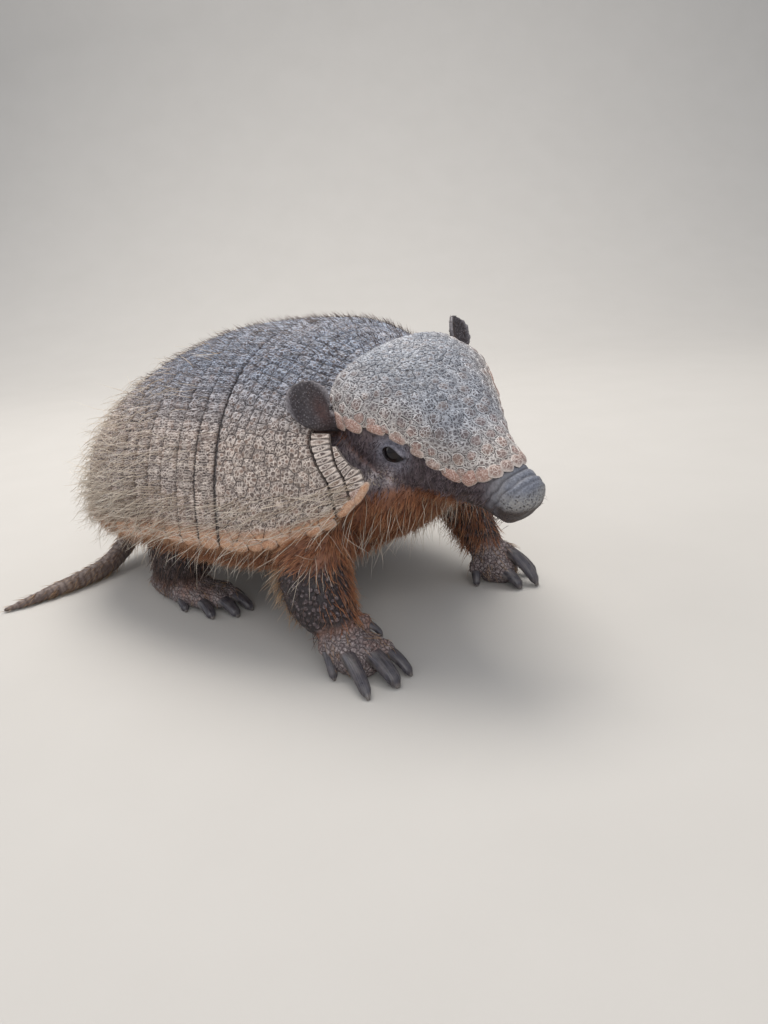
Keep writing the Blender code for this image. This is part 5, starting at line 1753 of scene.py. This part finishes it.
def make_coat(skin):
    rng = np.random.default_rng(SEED + 4)
    hide = Hide(skin)
    part = hide.shares
    x, y, z = hide.points.T
    spots = to_head(hide.points)
    bare = np.maximum.reduce([part["head"], part["ear"], part["leg"], part["foot"], part["tail"]])
    rust = coat_finish("rust_coat", (0.080, 0.027, 0.014), (0.200, 0.066, 0.027), (0.42, 0.165, 0.068),
                       (0.56, 0.35, 0.20))
    dark = coat_finish("dark_coat", (0.022, 0.014, 0.015), (0.045, 0.028, 0.028), (0.115, 0.070, 0.055),
                       (0.24, 0.15, 0.10))
    mauve = coat_finish("cheek_coat", (0.026, 0.017, 0.021), (0.045, 0.030, 0.036), (0.230, 0.175, 0.200),
                        (0.46, 0.39, 0.42))
    orange = coat_finish("orange_coat", (0.110, 0.042, 0.022), (0.30, 0.125, 0.055), (0.47, 0.225, 0.105),
                         (0.64, 0.43, 0.27))
    golden = coat_finish("golden_coat", (0.10, 0.055, 0.03), (0.24, 0.130, 0.065), (0.42, 0.26, 0.14),
                         (0.60, 0.47, 0.33))
    pale = coat_finish("pale_hair", (0.30, 0.22, 0.16), (0.50, 0.40, 0.31), (0.68, 0.60, 0.50),
                       (0.82, 0.77, 0.69), 0.45)

    # belly and flanks: the coat runs back and down
    rim_z = carapace(x, np.ones(len(x)))[:, 2]
    flesh_share = np.clip(1 - bare, 0, 1)
    seen = (z < rim_z + 5.0) | (x > 46.0)
    weight = smooth_step(0.35, 0.75, flesh_share) * seen
    roots, normals = hide.roots(weight, 0.60, rng)
    side = np.sign(roots[:, 1])
    front = smooth_step(30.0, 62.0, roots[:, 0])
    way = np.stack([-1.0 + 0.3 * front, 0.25 * side, -0.75 - 0.5 * front], -1)
    way = way + rng.normal(0, 0.22, roots.shape)
    lengths = rng.uniform(6.5, 11.0, len(roots)) * (1 - 0.25 * front)
    grow("belly_coat", rust, roots, along_skin(normals, way, rng.uniform(0.12, 0.42, len(roots))), lengths,
         0.34, rng, droop=0.12, curl=0.12, clump=0.6)

    # long pale hairs of the throat, chest and belly
    cover("belly_hairs", pale, hide, weight, 0.030, (-0.5, 0.0, -1.0), 0.35, (0.3, 0.8),
          (10.0, 17.0), 0.24, rng, rings=6, droop=0.22, curl=0.16, clump=0.15)

    # cheeks and throat of the head: short and dark, swept back
    cheek = part["head"] * (1 - part["snout"]) * (1 - part["lid"]) * (1 - part["chin"])
    cheek = cheek * smooth_step(-30.0, -20.0, spots[:, 0]) * smooth_step(72.0, 58.0, spots[:, 0])
    cheek = cheek * smooth_step(6.0, 1.0, spots[:, 2]) * (1 - 0.85 * part["pale_patch"])
    cover("cheek_coat", mauve, hide, cheek, 0.60, (-0.35, 0.0, -1.0), 0.20, (0.10, 0.40),
          (2.8, 5.2), 0.30, rng, HEAD_AXES, rings=3, curl=0.10, clump=0.75, lock=12)
    cover("cheek_powder", pale, hide, part["pale_patch"] ** 2, 1.1, (0.3, 0.0, -1.0), 0.5, (0.05, 0.3),
          (1.0, 2.0), 0.26, rng, HEAD_AXES, rings=2, droop=0.05, curl=0.15, clump=0.4)

    # legs: rust above and in front, golden behind the elbow, dark on the hind legs
    leg = part["leg"] * part["fore"]
    behind = smooth_step(0.25, 0.75, -hide.normals[:, 0])
    inner = smooth_step(0.0, 0.6, -hide.normals[:, 1] * np.sign(y))
    ahead_face = smooth_step(0.45, 0.9, hide.normals[:, 0])
    outer = smooth_step(0.35, 0.75, hide.normals[:, 1] * np.sign(y))
    weight = leg * np.clip(0.8 * inner + 0.30 * ahead_face, 0, 1) * (1 - 0.92 * outer)
    weight = weight * (z < rim_z - 1.0)
    cover("foreleg_coat", rust, hide, weight, 0.62, (-0.25, 0.0, -1.0), 0.2, (0.15, 0.5),
          (5.0, 9.0), 0.32, rng, curl=0.12, clump=0.6)
    weight = leg * smooth_step(16.0, 24.0, z)
    cover("foreleg_down", dark, hide, weight, 0.26, (-0.5, 0.0, -1.0), 0.2, (0.08, 0.3),
          (3.0, 5.5), 0.26, rng, rings=3, droop=0.05, curl=0.12, clump=0.5)
    weight = leg * behind * smooth_step(58.0, 48.0, z)
    cover("elbow_coat", golden, hide, weight, 0.55, (-0.85, 0.0, -0.8), 0.2, (0.4, 0.9),
          (6.0, 12.0), 0.28, rng, rings=5, droop=0.22, curl=0.12, clump=0.5)
    weight = part["leg"] * (1 - part["fore"]) * smooth_step(4.0, 16.0, z)
    cover("hind_leg_coat", dark, hide, weight, 0.36, (-0.5, 0.0, -1.0), 0.2, (0.15, 0.5),
          (6.0, 10.0), 0.32, rng, droop=0.12, curl=0.12, clump=0.55)

    # tufts on the toes and wrists, a little down on the ears, sparse bristles on the tail
    weight = part["foot"] * smooth_step(3.0, 7.0, z) * (hide.normals[:, 2] > -0.2)
    cover("toe_hairs", golden, hide, weight, 0.085, (0.8, 0.0, -0.6), 0.25, (0.25, 0.6),
          (3.0, 6.0), 0.24, rng, rings=3, droop=0.15, clump=0.5)
    weight = part["ear"] * (1 - part["hollow"])
    cover("ear_down", dark, hide, weight, 0.20, (-0.3, 0.0, 1.0), 0.25, (0.2, 0.6),
          (1.0, 2.0), 0.18, rng, rings=2, droop=0.0, clump=0.2)
    weight = part["tail"] * (x < -112.0)
    cover("tail_bristles", golden, hide, weight, 0.20, (0.2, -1.0, -0.3), 0.2, (0.2, 0.5),
          (3.0, 7.0), 0.24, rng, rings=3, clump=0.2)

    make_fringe(rng, pale, orange)
    make_back_hairs(rng, pale, dark)
    make_whiskers(rng, dark)


def shell_roots(x, v, lift=0.3):
    normals = outward(carapace, x, v)
    return carapace(x, v) + normals * lift, normals


def make_fringe(rng, pale, orange):
    """Hairs that hang from under the rim: a dense orange fringe and long pale hairs over it."""
    count = 1900
    x = rng.uniform(-132.0, 66.0, count)
    x = x[rng.random(count) < 0.35 + 0.5 * smooth_step(20.0, -60.0, x) + 0.5 * (x > 58.0)]
    count = len(x)
    side = rng.choice((-1.0, 1.0), count)
    rear = smooth_step(-95.0, -130.0, x)
    v = RIM(x) * rng.uniform(0.86, 1.0, count)
    roots, normals = shell_roots(x, side * v, 0.6)
    under = rng.random(count) < 0.35
    roots[under, 2] -= 3.0
    way = np.stack([-np.ones(count), 0.06 * side, -0.22 - 0.5 * under], -1) + rng.normal(0, 0.13, (count, 3))
    lengths = rng.uniform(12.0, 29.0, count) * (1 - 0.15 * rear) * (1 - 0.3 * under)
    way = along_skin(normals, way, rng.uniform(0.08, 0.34, count))
    grow("rim_hairs", pale, roots, way, lengths, 0.30, rng, rings=6, droop=0.12, curl=0.15, clump=0.10)
    count = 11000
    x = rng.uniform(-137.0, 60.0, count)
    side = rng.choice((-1.0, 1.0), count)
    roots, _ = shell_roots(x, side * RIM(x) * 0.99, -3.0)
    roots[:, 1] -= side * rng.uniform(-1.2, 3.0, count)
    way = np.stack([-0.6 * np.ones(count), 0.30 * side, -0.9 * np.ones(count)], -1)
    way = way + rng.normal(0, 0.2, (count, 3))
    grow("rim_fringe", orange, roots, unit(way), rng.uniform(5.0, 10.0, count), 0.30, rng,
         curl=0.12, clump=0.5)


def make_back_hairs(rng, pale, dark):
    """Bristles between the scutes of the back, and long pale hairs on the bands and rump."""
    count = 9000
    x = rng.uniform(-134.0, 52.0, count)
    v = rng.uniform(-0.97, 0.97, count)
    top = smooth_step(0.75, 0.25, np.abs(v))
    keep = rng.random(count) < (0.07 + 0.93 * top) * (0.35 + 0.65 * smooth_step(-110.0, -40.0, x))
    x, v, top = x[keep], v[keep], top[keep]
    roots, normals = shell_roots(x, v)
    way = along_skin(normals, np.array((-1.0, 0.0, 0.0)) + rng.normal(0, 0.16, (len(x), 3)),
                     rng.uniform(0.15, 1.0, len(x)) ** 1.3)
    grow("back_bristles", dark, roots, way, rng.uniform(3.0, 6.5, len(x)), 0.20, rng, rings=3,
         droop=0.05, curl=0.10, clump=0.1)
    count = 2100
    x = rng.uniform(-132.0, 8.0, count)
    band = np.round((x - FIRST_BAND_X) / BAND_WIDTH)
    x = np.where(x > -70.0, FIRST_BAND_X + band * BAND_WIDTH + rng.uniform(-0.4, 0.8, count), x)
    v = rng.choice((-1.0, 1.0), len(x)) * rng.uniform(0.02, 0.97, len(x)) ** 0.6
    low = smooth_step(0.2, 0.8, np.abs(v))
    keep = rng.random(count) < (0.10 + 0.90 * smooth_step(0.0, -65.0, x)) * (0.45 + 0.55 * low)
    x, v, low = x[keep], v[keep], low[keep]
    roots, normals = shell_roots(x, v)
    way = np.stack([-np.ones(len(x)), 0.1 * np.sign(v), 0.10 - 0.20 * low], -1)
    way = way + rng.normal(0, 0.22, (len(x), 3))
    lengths = rng.uniform(12.0, 29.0, len(x)) * (0.55 + 0.45 * smooth_step(0.0, -50.0, x))
    lengths = lengths * (1 - 0.2 * smooth_step(-95.0, -130.0, x))
    way = along_skin(normals, way, rng.uniform(0.08, 0.38, len(x)))
    grow("back_hairs", pale, roots, way, lengths, 0.29, rng, rings=7, droop=0.18, curl=0.20, clump=0.03)


def make_whiskers(rng, dark):
    """Stiff hairs along the lips, the chin and the edge of the head's shield."""
    count = 120
    x = rng.uniform(50.0, 82.0, count)
    side = rng.choice((-1.0, 1.0), count)
    v = side * rng.uniform(0.93, 1.0, count)
    roots = crown(x, v)
    roots[:, 2] -= rng.uniform(0.0, 9.0, count)
    roots[:, 1] -= side * 0.6
    way = unit(np.stack([-0.35 * np.ones(count), 0.8 * side, -0.5 * np.ones(count)], -1)
               + rng.normal(0, 0.3, (count, 3)))
    grow("whiskers", dark, from_head(roots), way @ HEAD_AXES.T, rng.uniform(3.5, 8.0, count), 0.20, rng,
         droop=0.15, clump=0.0)


# ---------------------------------------------------------------- floor, light and camera

BACKDROP_TURN = 0.74            # radians from +Y, so that it stands square behind the animal
BACKDROP_REACH = 3.2
BACKDROP_BEND_AT = 0.75
BACKDROP_RADIUS = 0.9


def make_stage():
    """A pale floor that curves up behind the animal, and soft light."""
    bm = bmesh.new()
    bmesh.ops.create_grid(bm, x_segments=2, y_segments=60, size=1.0)
    turn = Matrix.Rotation(BACKDROP_TURN, 3, "Z")
    for vert in bm.verts:
        along = vert.co.y * BACKDROP_REACH
        bend = min(max(0.0, (along - BACKDROP_BEND_AT) / BACKDROP_RADIUS), math.pi / 2)
        rise = max(0.0, along - BACKDROP_BEND_AT - BACKDROP_RADIUS * math.pi / 2)
        flat = min(along, BACKDROP_BEND_AT) + BACKDROP_RADIUS * math.sin(bend)
        height = BACKDROP_RADIUS * (1 - math.cos(bend)) + rise
        vert.co = turn @ Vector((vert.co.x * BACKDROP_REACH, flat, height))
    ground = Finish("pale_floor", 0.85)
    grain = ground.noise(60.0, 4.0)
    ground.set("Base Color", ground.blend(grain, (0.42, 0.40, 0.375), (0.45, 0.43, 0.405)))
    ground.bump(ground.noise(1.5, 4.0), 0.05, 0.4)
    floor = add_object("floor", to_mesh("floor", bm), ground.material)
    floor.data.shade_smooth()

    sky = bpy.data.worlds.new("soft_sky")
    sky.use_nodes = True
    background = sky.node_tree.nodes["Background"]
    background.inputs["Color"].default_value = (0.84, 0.90, 1.0, 1.0)
    background.inputs["Strength"].default_value = 0.62
    bpy.context.scene.world = sky
    bpy.context.scene.view_settings.view_transform = "Standard"
    # (name, place, size, watts, colour)
    lamps = (
        ("key", (-0.35, 0.25, 1.15), 0.7, 14.0, (1.0, 0.96, 0.90)),
        ("front", (0.9, -0.7, 0.75), 0.9, 7.0, (1.0, 0.98, 0.95)),
        ("back", (-0.9, -0.5, 0.6), 0.8, 3.0, (1.0, 0.97, 0.94)),
        ("backdrop", (-0.55, 0.65, 1.5), 1.2, 10.0, (1.0, 0.98, 0.95)))
    for name, spot, size, watts, colour in lamps:
        lamp = bpy.data.lights.new(name, "AREA")
        lamp.size = size
        lamp.energy = watts
        lamp.color = colour
        thing = bpy.data.objects.new(name, lamp)
        thing.location = spot
        target = Vector((-0.9, 1.1, 0.5)) if name == "backdrop" else Vector((0.0, 0.0, 0.06))
        thing.rotation_euler = (target - Vector(spot)).to_track_quat("-Z", "Y").to_euler()
        bpy.context.scene.collection.objects.link(thing)


def make_camera():
    lens = bpy.data.cameras.new("camera")
    lens.lens = 27.25
    lens.sensor_width = 36.0
    lens.clip_start = 0.01
    thing = bpy.data.objects.new("camera", lens)
    right = Vector((0.75335, 0.65321, -0.07606))
    up = Vector((-0.15443, 0.28815, 0.94505))
    back = Vector((0.63923, -0.70021, 0.31795))
    at = (np.array((270.9, -255.95, 162.09)) + BODY_SHIFT) * MM
    turn = Matrix((right, up, back)).transposed().to_4x4()
    thing.matrix_world = Matrix.Translation(Vector(at)) @ turn
    bpy.context.scene.collection.objects.link(thing)
    bpy.context.scene.camera = thing


# ---------------------------------------------------------------- the animal

def build():
    make_camera()
    make_stage()
    # each horn: field and rim, the same under the painted reflection of the sky, and the size of its cracks
    horn = armour_finish("horn_of_back", (0.108, 0.074, 0.063), (0.92, 0.80, 0.71),
                         (0.020, 0.026, 0.044), (0.40, 0.47, 0.61), 1.9)
    make_back(horn)
    head_horn = armour_finish("horn_of_head", (0.110, 0.083, 0.079), (0.95, 0.88, 0.82),
                              (0.027, 0.034, 0.052), (0.45, 0.50, 0.59), 1.5)
    make_head_shield(head_horn)
    skin = make_skin()
    make_eyes()
    make_claws()
    make_coat(skin)


build()
bpy.context.view_layer.update()
